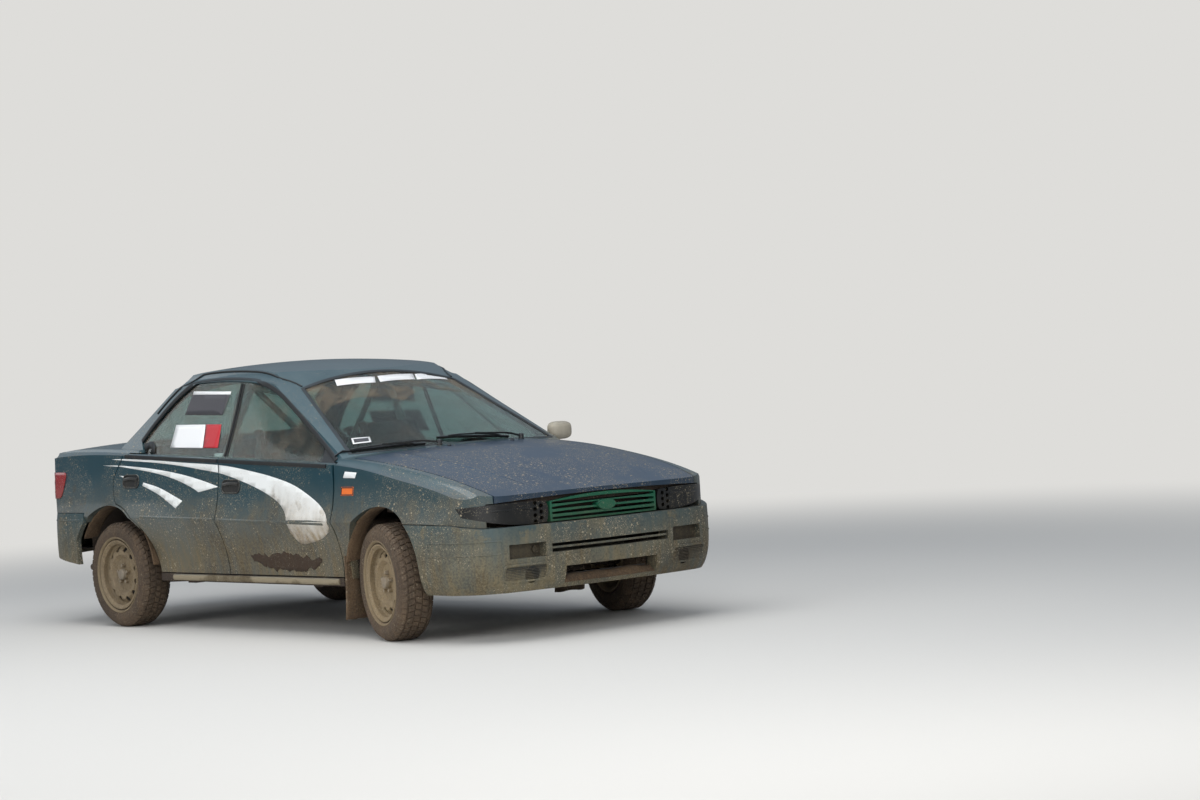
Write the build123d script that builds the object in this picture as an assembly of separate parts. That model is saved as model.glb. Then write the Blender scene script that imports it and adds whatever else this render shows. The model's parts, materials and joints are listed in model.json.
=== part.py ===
"""Compact four-door rally saloon with frameless door glass, at its real size in millimetres.

+X forward, +Y left, +Z up. The origin is on the ground, on the centre line, near the middle.
Each sub-part is built by its own function and written as one STEP file named after its node.
"""
from build123d import *
from math import atan2, cos, pi, radians, sin, sqrt, tan
import os

# Overall layout
WHEELBASE = 2520
FRONT_AXLE_X = 1305
REAR_AXLE_X = FRONT_AXLE_X - WHEELBASE
BODY_HALF = 845          # half-width at the crease, the widest line
SILL_Z = 265             # underside of the sills
CREASE_Z = 602           # height of the crease along the doors
NOSE_X = FRONT_AXLE_X + 775
TAIL_X = REAR_AXLE_X - 915
BUMPER_NOSE_X = NOSE_X + 45
BUMPER_TAIL_X = TAIL_X - 15
SKIN = 35                # outer panel with its inner frame
DOOR_DEPTH = 110         # whole thickness of a door
ROOF_WALL = 38           # roof and pillars
SHUT_GAP = 6             # gap between a moving panel and its neighbour
REACH = 3000             # longer than the car, for cutting tools

# Plan shape of the ends: face radius and corner radius
NOSE_PLAN = (4300, 300)
TAIL_PLAN = (2200, 400)

# Wheels and tyres
WHEEL_Z = 296
TYRE_R = 296
TYRE_W = 186
RIM_R = 195              # flange
RIM_W = 165
RIM_SEAT_R = 178
RIM_WALL = 5
DISC_FACE = 52           # disc face outboard of the wheel's middle plane
HUB_R = 62
TRACK_FRONT_HALF = 735
TRACK_REAR_HALF = 730
LUG_CIRCLE_R = 50

# Steering: kingpin from lower ball joint to strut top, and the angle as parked (to the right)
KINGPIN_LOW = (690, 222)     # distance from the centre line, height
KINGPIN_TOP = (566, 842)
STEER_AT_REST = -15
STEER_LOCK = 32

# Arch openings: centre height and radius
FRONT_ARCH = (345, 333)
REAR_ARCH = (300, 389)
FRONT_ARCH_X = FRONT_AXLE_X - 5
REAR_ARCH_X = REAR_AXLE_X - 32
REAR_ARCH_BACK_X = REAR_AXLE_X - 370     # the rear opening ends straight here, ahead of the bumper's corner
ARCH_LIP = 16            # quarter panel left between rear door and arch

# Shut lines
DOOR_FRONT_X = FRONT_AXLE_X - 399
DOOR_B_X = FRONT_AXLE_X - 1456
DOOR_INNER_Y = 690       # no door reaches further in than this
DOOR_BOTTOM_Z = 313
HINGE_BACK = 34          # hinge axis behind the door's front edge
HINGE_Y = 822
HINGE_SWEEP = 43         # radius kept free round a door's hinge axis
BELT_FRONT_Z = 896
BELT_REAR_Z = 970
BELT_FRONT_X = FRONT_AXLE_X - 458
BELT_REAR_X = REAR_AXLE_X + 205

# Screens: slope in degrees, bow radius and a point on the centre line
SCREEN_SLOPE = 26
SCREEN_BOW = 2470
SCREEN_FOOT = (FRONT_AXLE_X - 172, 925)
REAR_SLOPE = 31.4
REAR_BOW = 2500
REAR_FOOT = (REAR_AXLE_X - 268, 1012)
GLASS = 6
GLASS_INSET = 5          # screens sit this far below the body surface
DOOR_GLASS_INSET = 8
# Openings along each slope: lower edge at the middle and at the corners, upper edge at the corners
# and at the middle, then half-widths at the bottom and at the top
SCREEN_OPENING = (66, 222, 932, 982, 676, 512)
REAR_OPENING = (48, 124, 640, 684, 560, 480)

# Hood and boot
HOOD_BACK_X = FRONT_AXLE_X - 185
HOOD_SIDE = (700, 640)   # half-width at the rear and at the front
BOOT_FRONT_X = REAR_AXLE_X - 262
BOOT_HALF = 560
BOOT_LIP_Z = 700
BOOT_LIP_HALF = 430
BOOT_BACK_X = REAR_AXLE_X - 780   # the lid turns down behind this


def tail(dx):
    return REAR_AXLE_X + dx


def nose(dx):
    return FRONT_AXLE_X + dx


# Body below the belt, section by section:
# x, then tuck-in from BODY_HALF and height of: sill, crease, shoulder, deck edge; height of the deck's middle
HULL = [
    (nose(850), 150, 262, 0, 585, 28, 640, 112, 656, 690),
    (nose(620), 110, 262, 0, 588, 34, 706, 118, 742, 770),
    (nose(400), 95, 262, 0, 592, 38, 762, 122, 800, 840),
    (nose(150), 90, 264, 0, 596, 42, 808, 122, 848, 898),
    (nose(-150), 88, SILL_Z, 0, 599, 47, 862, 118, 892, 945),
    (nose(-505), 88, SILL_Z, 0, CREASE_Z, 50, 896, 100, 922, 985),
    (nose(-1305), 88, SILL_Z, 0, CREASE_Z + 2, 52, 930, 98, 952, 1005),
    (tail(415), 88, SILL_Z, 0, CREASE_Z + 16, 54, 956, 102, 980, 1016),
    (tail(-85), 92, 268, 2, CREASE_Z + 24, 62, 972, 120, 1000, 1026),
    (tail(-500), 105, 285, 8, CREASE_Z + 30, 76, 972, 142, 1003, 1032),
    (tail(-800), 132, 300, 22, CREASE_Z + 34, 96, 952, 166, 985, 1012),
    (tail(-1000), 150, 310, 30, CREASE_Z + 36, 110, 915, 185, 944, 968),
]

# Greenhouse, section by section:
# x, then half-width at the foot, half-width and height of: glass top, roof edge; height of the roof's middle
GREENHOUSE_FOOT_Z = 860
GREENHOUSE = [
    (nose(-55), 752, 650, 1080, 566, 1130, 1152),
    (nose(-805), 780, 642, 1200, 560, 1248, 1268),
    (nose(-1205), 787, 610, 1322, 537, 1374, 1397),
    (nose(-1605), 790, 606, 1350, 538, 1410, 1437),
    (tail(565), 784, 603, 1342, 534, 1403, 1430),
    (tail(215), 771, 596, 1292, 520, 1350, 1382),
    (tail(-285), 735, 575, 1200, 500, 1260, 1290),
]


def section_plane(x):
    """YZ plane at x whose own x axis is the car's Y and own y axis the car's Z."""
    return Plane(origin=(x, 0, 0), x_dir=(0, 1, 0), z_dir=(1, 0, 0))


def hull_wire(row, inset):
    x, sill, sill_z, crease, crease_z, shoulder, shoulder_z, deck, deck_z, top_z = row
    foot = (BODY_HALF - sill - inset, sill_z + inset)
    waist = (BODY_HALF - crease - inset, crease_z)
    upper = (BODY_HALF - shoulder - inset, shoulder_z - inset / 2)
    edge = (BODY_HALF - deck - inset, deck_z - inset)
    left = [
        SagittaArc(foot, waist, 22),
        SagittaArc(waist, upper, 12),
        SagittaArc(upper, edge, 10),
    ]
    right = [mirror(arc, Plane.YZ) for arc in left]
    floor = Line((-foot[0], foot[1]), foot)
    deck_arc = ThreePointArc(edge, (0, top_z - inset), (-edge[0], edge[1]))
    edges = [floor] + left + [deck_arc] + [right[2], right[1], right[0]]
    return section_plane(x) * Wire([part.edge() for part in edges])


def greenhouse_wire(row, inset):
    x, foot_y, glass_y, glass_z, roof_y, roof_z, top_z = row
    foot = (foot_y - inset, GREENHOUSE_FOOT_Z)
    glass = (glass_y - inset, glass_z - inset * 0.5)
    roof = (roof_y - inset * 0.7, roof_z - inset)
    left = [SagittaArc(foot, glass, 9), SagittaArc(glass, roof, 14)]
    right = [mirror(arc, Plane.YZ) for arc in left]
    base = Line((-foot[0], foot[1]), foot)
    crown = ThreePointArc(roof, (0, top_z - inset), (-roof[0], roof[1]))
    edges = [base] + left + [crown] + [right[1], right[0]]
    return section_plane(x) * Wire([part.edge() for part in edges])


def end_points(face_x, face_r, corner_r, half, sign):
    """Points of one rounded end in plan: middle of the face, and where the corner arc starts, bows and ends."""
    centre = face_x - sign * face_r
    corner_y = half - corner_r
    corner_x = centre + sign * sqrt((face_r - corner_r) ** 2 - corner_y ** 2)
    start_angle = atan2(corner_y, abs(corner_x - centre))
    middle_angle = (start_angle + pi / 2) / 2
    start = (corner_x + sign * corner_r * cos(start_angle), corner_y + corner_r * sin(start_angle))
    bow = (corner_x + sign * corner_r * cos(middle_angle), corner_y + corner_r * sin(middle_angle))
    return (face_x, 0), start, bow, (corner_x, half)


def plan_wire(nose_x, tail_x, half, z, inset=0):
    """Closed outline of the car seen from above."""
    half = half - inset
    corner_n = NOSE_PLAN[1] - inset
    corner_t = TAIL_PLAN[1] - inset
    front, f1, f2, f3 = end_points(nose_x - inset, NOSE_PLAN[0] - inset, corner_n, half, 1)
    back, b1, b2, b3 = end_points(tail_x + inset, TAIL_PLAN[0] - inset, corner_t, half, -1)

    def flip(point):
        return (point[0], -point[1])

    edges = [
        ThreePointArc(flip(f1), front, f1),
        ThreePointArc(f1, f2, f3),
        Line(f3, b3),
        ThreePointArc(b3, b2, b1),
        ThreePointArc(b1, back, flip(b1)),
        ThreePointArc(flip(b1), flip(b2), flip(b3)),
        Line(flip(b3), flip(f3)),
        ThreePointArc(flip(f3), flip(f2), flip(f1)),
    ]
    return Plane.XY.offset(z) * Wire([part.edge() for part in edges])


def plan_prism(nose_x, tail_x, half, z0, z1, inset=0):
    return extrude(Face(plan_wire(nose_x, tail_x, half, z0, inset)), z1 - z0, dir=(0, 0, 1))


def side_prism(points, y0, y1):
    """Prism along Y over a closed outline of (x, z) points."""
    face = Plane.XZ * make_face(Polyline(*points, close=True))
    return extrude(face, y1 - y0, dir=(0, 1, 0)).translate((0, y0, 0))


def profile_prism(edges, y0, y1):
    """Prism along Y over an outline of 2-D edges drawn in (x, z)."""
    face = Plane.XZ * make_face(edges)
    return extrude(face, y1 - y0, dir=(0, 1, 0)).translate((0, y0, 0))


def block(x0, x1, y0, y1, z0, z1):
    box = Box(abs(x1 - x0), abs(y1 - y0), abs(z1 - z0))
    return box.translate(((x0 + x1) / 2, (y0 + y1) / 2, (z0 + z1) / 2))


def rod(start, end, radius):
    """Round bar from one point to another."""
    axis = Vector(*end) - Vector(*start)
    return extrude(Plane(origin=start, z_dir=axis) * Circle(radius), axis.length)


def y_disc(x, y0, y1, z, radius):
    return rod((x, y0, z), (x, y1, z), radius)


def both_sides(solid):
    return [solid, solid.mirror(Plane.XZ)]


def solid_of(shape):
    """The one solid of a result, or a compound of several."""
    solids = shape.solids()
    return solids[0] if len(solids) == 1 else Compound(solids)


def hull(inset):
    loft_body = Solid.make_loft([hull_wire(row, inset) for row in HULL])
    plan = plan_prism(NOSE_X, TAIL_X, BODY_HALF + 5, 0, 1400, inset)
    return loft_body & plan


def slope_cylinder(foot, slope, bow, sign, inset):
    """Round bar whose skin is a bowed screen: sign +1 for the front screen, -1 for the rear."""
    angle = radians(slope)
    along = Vector(-sign * cos(angle), 0, sin(angle))
    normal = Vector(sign * sin(angle), 0, cos(angle))
    centre = Vector(foot[0], 0, foot[1]) - normal * bow
    start = centre - along * REACH
    return extrude(Plane(origin=start, z_dir=along) * Circle(bow - inset), 2 * REACH)


def greenhouse(inset, screen_inset):
    loft_body = Solid.make_loft([greenhouse_wire(row, inset) for row in GREENHOUSE])
    front = slope_cylinder(SCREEN_FOOT, SCREEN_SLOPE, SCREEN_BOW, 1, screen_inset)
    back = slope_cylinder(REAR_FOOT, REAR_SLOPE, REAR_BOW, -1, screen_inset)
    return loft_body & front & back


def offset_prism(face, amount, y0, y1):
    """Prism along Y over an (x, z) face grown or shrunk by an amount."""
    kind = Kind.ARC if amount > 0 else Kind.INTERSECTION
    grown = offset(face, amount, kind=kind) if amount else face
    return extrude(Plane.XZ * grown, y1 - y0, dir=(0, 1, 0)).translate((0, y0, 0))


def front_prism(edges, x0, x1):
    """Prism along X over an outline of 2-D edges drawn in (y, z)."""
    return extrude(section_plane(x0) * make_face(edges), x1 - x0)


# Structure below the skin
BULKHEAD_X = nose(-290)
TUNNEL_R = 130
BOOT_FLOOR_Z = 430
FLOOR_TOP = SILL_Z + 37
SPAN_IN_DOORS = 665      # nothing of the floor reaches further out beside the doors
RAIL_Y = 420
TUB_IN = 500

# Outlines of the side openings, drawn in (x, z)
def belt_z(x):
    share = (BELT_FRONT_X - x) / (BELT_FRONT_X - BELT_REAR_X)
    return BELT_FRONT_Z + share * (BELT_REAR_Z - BELT_FRONT_Z)


B_TOP = (DOOR_B_X, belt_z(DOOR_B_X))
B_FOOT = (DOOR_B_X, DOOR_BOTTOM_Z)
SAIL_X = BELT_FRONT_X - 125
ROOF_GLASS_Z = 1344
QUARTER_CORNER = (tail(145), 1030)


def front_door_face():
    top = (DOOR_FRONT_X - 22, belt_z(DOOR_FRONT_X - 22))
    low = (DOOR_FRONT_X - 20, DOOR_BOTTOM_Z)
    return make_face([
        ThreePointArc(low, (DOOR_FRONT_X, 620), top),
        Line(top, B_TOP),
        Line(B_TOP, B_FOOT),
        Line(B_FOOT, low),
    ])


def rear_door_face():
    """The rear edge runs down from the belt and then along the wheel arch, one lip's width away."""
    radius = REAR_ARCH[1] + ARCH_LIP
    low_x = REAR_ARCH_X + sqrt(radius ** 2 - (DOOR_BOTTOM_Z - REAR_ARCH[0]) ** 2)
    low = (low_x, DOOR_BOTTOM_Z)
    start = radians(80)
    upper = (REAR_ARCH_X + radius * cos(start), REAR_ARCH[0] + radius * sin(start))
    bow = (REAR_ARCH_X + radius * cos(start / 2), REAR_ARCH[0] + radius * sin(start / 2))
    shoulder = (tail(-5), 850)
    corner = (tail(100), belt_z(tail(100)))
    b_top = (DOOR_B_X - SHUT_GAP, belt_z(DOOR_B_X))
    b_foot = (DOOR_B_X - SHUT_GAP, DOOR_BOTTOM_Z)
    return make_face([
        Line(b_top, b_foot),
        Line(b_foot, low),
        ThreePointArc(low, bow, upper),
        ThreePointArc(upper, (tail(-4), 778), shoulder),
        ThreePointArc(shoulder, (tail(48), 912), corner),
        Line(corner, b_top),
    ])


def side_glass_face():
    """Whole glazed opening of one side."""
    a_foot = (BELT_FRONT_X, BELT_FRONT_Z)
    a_head = (nose(-1005), 1208)
    corner = (BELT_REAR_X, BELT_REAR_Z)
    return make_face([
        ThreePointArc(a_foot, (nose(-735), 1058), a_head),
        ThreePointArc(a_head, (nose(-1200), 1294), (nose(-1450), ROOF_GLASS_Z - 8)),
        ThreePointArc((nose(-1450), ROOF_GLASS_Z - 8), (tail(780), ROOF_GLASS_Z), (tail(600), ROOF_GLASS_Z - 6)),
        ThreePointArc((tail(600), ROOF_GLASS_Z - 6), (tail(370), 1218), QUARTER_CORNER),
        Line(QUARTER_CORNER, corner),
        Line(corner, a_foot),
    ])


def arch_cutter(axle_x, arch, y0, y1, grow=0):
    """Round wheel opening with straight sides below its centre."""
    z, radius = arch[0], arch[1] + grow
    hole = y_disc(axle_x, y0, y1, z, radius)
    return hole + block(axle_x - radius, axle_x + radius, y0, y1, 0, z)


def rear_arch(y0, y1):
    """Opening of the rear wheel arch in the outer panels."""
    opening = arch_cutter(REAR_ARCH_X, REAR_ARCH, y0, y1)
    return opening & block(REAR_ARCH_BACK_X, REAR_ARCH_X + REACH, y0, y1, 0, REACH)


def hood_face(grow=0):
    """Plan outline of the hood, curved along its rear edge."""
    back_y, front_y = HOOD_SIDE[0] + grow, HOOD_SIDE[1] + grow
    corner_x = HOOD_BACK_X - 150 - grow
    return make_face([
        ThreePointArc((corner_x, -back_y), (HOOD_BACK_X - grow, 0), (corner_x, back_y)),
        Line((corner_x, back_y), (nose(560), front_y + 34)),
        Line((nose(560), front_y + 34), (nose(900), front_y)),
        Line((nose(900), front_y), (nose(900), -front_y)),
        Line((nose(900), -front_y), (nose(560), -front_y - 34)),
        Line((nose(560), -front_y - 34), (corner_x, -back_y)),
    ])


def nose_cut(grow=0):
    """Everything below the hood's front edge, from the grille and lamps forward."""
    half = BODY_HALF + 60
    top = 695 - grow
    side = 664 - grow
    return front_prism([
        ThreePointArc((-half, side), (0, top), (half, side)),
        Line((half, side), (half, 0)),
        Line((half, 0), (-half, 0)),
        Line((-half, 0), (-half, side)),
    ], nose(560), nose(950))


def boot_face(grow=0):
    half = BOOT_HALF + grow
    front = BOOT_FRONT_X + grow
    return make_face(Polyline(
        (front, -half), (front, half), (tail(-760), half - 20), (tail(-1000), half - 60),
        (tail(-1000), -half + 60), (tail(-760), -half + 20), close=True))


def lamp_prism(grow=0):
    """Right headlamp opening seen from the front, rounded inside and pointed outside."""
    return front_prism([
        ThreePointArc((-372, 568 - grow), (-358 + grow, 615), (-372, 668 + grow)),
        ThreePointArc((-372, 668 + grow), (-560, 675 + grow), (-806 - grow, 664 + grow)),
        Line((-806 - grow, 664 + grow), (-790 - grow, 618 - grow)),
        ThreePointArc((-790 - grow, 618 - grow), (-600, 572 - grow), (-372, 568 - grow)),
    ], nose(510), nose(950))


BUMPER_TOP_SIDE = 592
BUMPER_TOP_NOSE = 562
BUMPER_TOP_REAR = 648
BUMPER_WALL = 32
BUMPER_DEPTH = BUMPER_WALL + BUMPER_NOSE_X - NOSE_X
BUMPER_SPLIT_X = nose(200)       # behind this the side belongs to the rear half
REAR_SPLIT_X = tail(-289)        # front end of the rear bumper, over the wheel arch
REAR_SKIRT = [(tail(-200), 340), (tail(-361), 350), (tail(-579), 379), (tail(-810), 397), (tail(-1100), 405)]
REAR_END_WALL = 30               # rear bumper's thickness ahead of its corner


def bumper_line(grow=0):
    """Everything below the top edges of both bumpers."""
    front = side_prism([
        (BUMPER_SPLIT_X, BUMPER_TOP_SIDE + grow), (nose(560), BUMPER_TOP_SIDE - 6 + grow),
        (nose(690), BUMPER_TOP_NOSE + grow), (nose(900), BUMPER_TOP_NOSE + grow),
        (nose(900), 0), (BUMPER_SPLIT_X, 0)], -REACH / 2, REACH / 2)
    back = block(tail(-1100), REAR_SPLIT_X, -REACH / 2, REACH / 2, 0, BUMPER_TOP_REAR + grow)
    return front, back


class Body:
    """Shared body surfaces, made once: hull and greenhouse at the insets that the panels need."""

    def __init__(self):
        self.outer = hull(0)
        self.skin = hull(SKIN)
        self.depth = hull(DOOR_DEPTH)
        self.backing = hull(SKIN + 10)
        self.shell = self.outer - self.skin
        self.house = greenhouse(0, 0)
        self.house_inner = greenhouse(ROOF_WALL, ROOF_WALL)
        self.glass_face = greenhouse(DOOR_GLASS_INSET, DOOR_GLASS_INSET)
        self.sheet = self.glass_face - greenhouse(DOOR_GLASS_INSET + GLASS, DOOR_GLASS_INSET + GLASS)
        self.sail = self.glass_face - self.house_inner


def ledge_bevel():
    """Wedge off the front door's inner rear corner, which swings back as the door opens."""
    plan = [(DOOR_B_X - 2, -788), (DOOR_B_X - 2, -560), (DOOR_B_X + 20, -560), (DOOR_B_X, -788)]
    return extrude(make_face(Polyline(*plan, close=True)), REACH)


def right_door(body, face, deep_x, rear_hinge_x):
    """Skin to the full outline, inner frame set back so that it swings clear."""
    skin = body.shell & offset_prism(face, 0, -REACH / 2, -DOOR_INNER_Y)
    deep = (body.outer - body.depth) & offset_prism(face, -16, -REACH / 2, -DOOR_INNER_Y)
    deep &= block(*deep_x, -REACH / 2, 0, 0, REACH)
    door = skin + deep
    if rear_hinge_x is not None:
        door -= ledge_bevel() + rod((rear_hinge_x, -HINGE_Y, 0), (rear_hinge_x, -HINGE_Y, REACH), HINGE_SWEEP)
    return door


def side_glass(x0, x1, sheet):
    """Door glass between two shut lines."""
    window = offset_prism(side_glass_face(), 0, -REACH / 2, 0)
    return sheet & window & block(x0, x1, -REACH / 2, 0, 0, REACH)


# Body structure
RISE_X = tail(420)               # step from the cabin floor up to the boot floor
FLOOR_FRONT_X = DOOR_FRONT_X - 24
TUNNEL_FOOT_Z = FLOOR_TOP - 2
JACK_X = 600
JACK_PAD = (40, 650, 720, 253)   # half-length, inner and outer edge, underside
BOOT_TRAY = (tail(-800), tail(-420), 400, 4)


def floor_pan(body):
    """Sills, cabin floor, toe board, tunnel and the four jacking pads."""
    pan = body.shell & block(REAR_ARCH_X + REAR_ARCH[1] + 8, FLOOR_FRONT_X, -900, 900, 0, DOOR_BOTTOM_Z - SHUT_GAP)
    pan += body.outer & block(RISE_X, FLOOR_FRONT_X, -680, 680, SILL_Z + 5, FLOOR_TOP)
    pan += body.skin & block(DOOR_FRONT_X - 30, BULKHEAD_X, -REACH / 2, REACH / 2, SILL_Z, SILL_Z + SKIN + 3)
    arch = Circle(TUNNEL_R) & Pos(0, TUNNEL_R) * Rectangle(2 * TUNNEL_R, 2 * TUNNEL_R)
    length = BULKHEAD_X - RISE_X
    pan += extrude(Plane.YZ.offset(RISE_X) * arch, length).translate((0, 0, TUNNEL_FOOT_Z))
    pan -= tunnel_void()
    for side in (-1, 1):
        pan -= arch_cutter(FRONT_ARCH_X, FRONT_ARCH, side * (RAIL_Y + 36), side * 900, 6)
    half, y_in, y_out, low = JACK_PAD
    for x in (-JACK_X, JACK_X):
        for side in (-1, 1):
            pan += block(x - half, x + half, side * y_in, side * y_out, low, SILL_Z + 10)
    return solid_of(pan)


def tunnel_void(grow=0):
    """Space under the tunnel, open at both ends."""
    radius = TUNNEL_R - 5 + grow
    length = BULKHEAD_X - RISE_X + 40
    void = extrude(Plane.YZ.offset(RISE_X - 20) * Circle(radius), length).translate((0, 0, TUNNEL_FOOT_Z))
    return void + block(RISE_X - 20, BULKHEAD_X + 20, -radius, radius, 0, TUNNEL_FOOT_Z)


def boot_pan(body):
    """Boot floor with its tray, the step down to the cabin floor, both wheel tubs and the rear panel."""
    inside = body.skin
    cavity = bumper_loft(BUMPER_DEPTH)
    pan = inside & cavity & block(tail(-900), tail(0), -REACH / 2, REACH / 2, BOOT_FLOOR_Z, BOOT_FLOOR_Z + 6)
    pan += block(tail(0), RISE_X, -SPAN_IN_DOORS, SPAN_IN_DOORS, BOOT_FLOOR_Z, BOOT_FLOOR_Z + 6)
    top = BUMPER_TOP_REAR - SHUT_GAP / 2
    inner = bumper_loft(BUMPER_DEPTH + 6)
    pan += (cavity - inner) & block(tail(-1000), tail(-600), -560, 560, BOOT_FLOOR_Z, top + 3)
    pan += (inside - inner) & block(tail(-1000), tail(-600), -560, 560, top, top + 6)
    pan += block(RISE_X, RISE_X + 6, -SPAN_IN_DOORS, SPAN_IN_DOORS, FLOOR_TOP, BOOT_FLOOR_Z + 6) - tunnel_void(5)
    x0, x1, half, rise = BOOT_TRAY
    pan += block(x0, x1, -half, half, BOOT_FLOOR_Z + 5, BOOT_FLOOR_Z + 6 + rise)
    z, radius = REAR_ARCH
    well = inside & block(REAR_ARCH_X - 500, REAR_ARCH_X + 500, -REACH / 2, REACH / 2, z - 30, 900)
    for side in (-1, 1):
        wheel = y_disc(REAR_ARCH_X, side * (TUB_IN + 6), side * 900, z, radius)
        tub = y_disc(REAR_ARCH_X, side * TUB_IN, side * 900, z, radius + 6) & well
        tub -= block(REAR_ARCH_X - radius, REAR_ARCH_X + radius, side * RAIL_Y, side * (TUB_IN + 7), 0, BOOT_FLOOR_Z)
        pan = (pan + tub) - wheel
    return solid_of(pan)


def bulkhead(body):
    """Wall between the cabin and the engine, with the rear half of both front wheel arches."""
    inside = body.skin
    wall = (inside & block(BULKHEAD_X, BULKHEAD_X + 6, -REACH / 2, REACH / 2, 290, 960)) - body.house
    lip = inside & block(FRONT_ARCH_X - 400, BULKHEAD_X + 60, -REACH / 2, REACH / 2, SILL_Z, 900)
    wall -= tunnel_void()
    for side in (-1, 1):
        y_in = side * (RAIL_Y + 36)
        wheel = arch_cutter(FRONT_ARCH_X, FRONT_ARCH, y_in, side * 900)
        wall = (wall + (arch_cutter(FRONT_ARCH_X, FRONT_ARCH, y_in, side * 900, 6) & lip)) - wheel
    return max(wall.solids(), key=lambda solid: solid.volume)


STRUT_TOP_Z = 800


def inner_wing(body, side):
    """Rail, apron and strut tower of one side."""
    y_rail = side * RAIL_Y
    shape = block(BULKHEAD_X + 6, nose(660), y_rail - 30, y_rail + 30, 360, 440)
    shape += block(BULKHEAD_X + 6, nose(660), y_rail + side * 30, y_rail + side * 24, 400, 790) & body.skin
    tower = block(FRONT_AXLE_X - 95, FRONT_AXLE_X + 85, y_rail + side * 24, side * 700, 640, STRUT_TOP_Z + 8)
    tower -= block(FRONT_AXLE_X - 89, FRONT_AXLE_X + 79, y_rail + side * 30, side * 694, 600, STRUT_TOP_Z)
    return solid_of(shape + (tower & body.skin))


def nose_panel(body):
    """Radiator panel, the frame behind the lamps and the two bumper arms."""
    inside = body.skin
    panel = block(nose(660), nose(666), -600, 600, 330, 640) & inside
    panel -= block(nose(600), nose(700), -330, 330, 400, 600)
    behind = (inside - body.backing) & block(nose(560), nose(950), -760, 760, 592, 700)
    behind -= block(nose(560), nose(950), -330, 330, 582, 655)
    for y0, y1 in ((-560, -520), (520, 560)):
        panel += block(nose(660), nose(765), y0, y1, 590, 630) & inside
    return solid_of(panel + behind)


def screen_prism(foot, slope, sign, opening, depth=420):
    """Screen opening, cut square to the slope."""
    low_mid, low, high, high_mid, half_low, half_high = opening
    angle = radians(slope)
    normal = Vector(sign * sin(angle), 0, cos(angle))
    plane = Plane(origin=(foot[0], 0, foot[1]), x_dir=(0, sign, 0), z_dir=normal)
    face = make_face([
        ThreePointArc((-half_low, low), (0, low_mid), (half_low, low)),
        Line((half_low, low), (half_high, high)),
        ThreePointArc((half_high, high), (0, high_mid), (-half_high, high)),
        Line((-half_high, high), (-half_low, low)),
    ])
    return extrude(plane * face, depth / 2, both=True)


def cabin_frame(body, doors_cut):
    """Roof, pillars, cowl and rear quarters around the hollow cabin, with every window cut."""
    upper = body.house - body.house_inner
    band = block(DOOR_FRONT_X - 20, HOOD_BACK_X + 20, -HOOD_SIDE[0] - 8, HOOD_SIDE[0] + 8, 800, 1100)
    hood_void = extrude(hood_face(SHUT_GAP), REACH)
    upper -= hood_void
    cowl = (body.shell & band) - hood_void - body.house_inner
    side = body.shell & block(tail(-1000), tail(260), -REACH / 2, REACH / 2, DOOR_BOTTOM_Z, 1100)
    side -= block(REAR_SPLIT_X - 40, tail(300), -BOOT_HALF - 60, BOOT_HALF + 60, 0, 905)
    side -= body.house_inner
    side -= block(tail(-1000), BOOT_BACK_X, -BOOT_LIP_HALF - SHUT_GAP, BOOT_LIP_HALF + SHUT_GAP, BOOT_LIP_Z - SHUT_GAP, 905)
    side -= rear_arch(-REACH / 2, REACH / 2)
    side -= bumper_line()[1]
    frame = upper + cowl + side - extrude(boot_face(SHUT_GAP), REACH).translate((0, 0, 880))
    frame -= screen_prism(SCREEN_FOOT, SCREEN_SLOPE, 1, SCREEN_OPENING)
    frame -= screen_prism(REAR_FOOT, REAR_SLOPE, -1, REAR_OPENING)
    glazing = side_glass_face()
    for y0, y1 in ((-REACH / 2, -BOOT_HALF), (BOOT_HALF, REACH / 2)):
        frame -= offset_prism(glazing, SHUT_GAP, y0, y1)
    return frame - doors_cut


# Cabin fittings
TUBE_R = 20
LEG_R = 19
BRACE_R = 17.5
CAGE_HALF = 615
CAGE_TOP_Z = 1308
CAGE_JOINT_Y = 425       # where legs and stays meet the hoop's straight top run


def bent_tube(points, radius, bend=90):
    """Round tube along straight runs with a bend at each corner."""
    path = FilletPolyline(*points, radius=bend)
    return sweep(Plane(origin=path @ 0, z_dir=path % 0) * Circle(radius), path=path)


def foot_plate(x, y, z):
    return block(x - 60, x + 60, y - 45, y + 45, z, z + 8)


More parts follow.
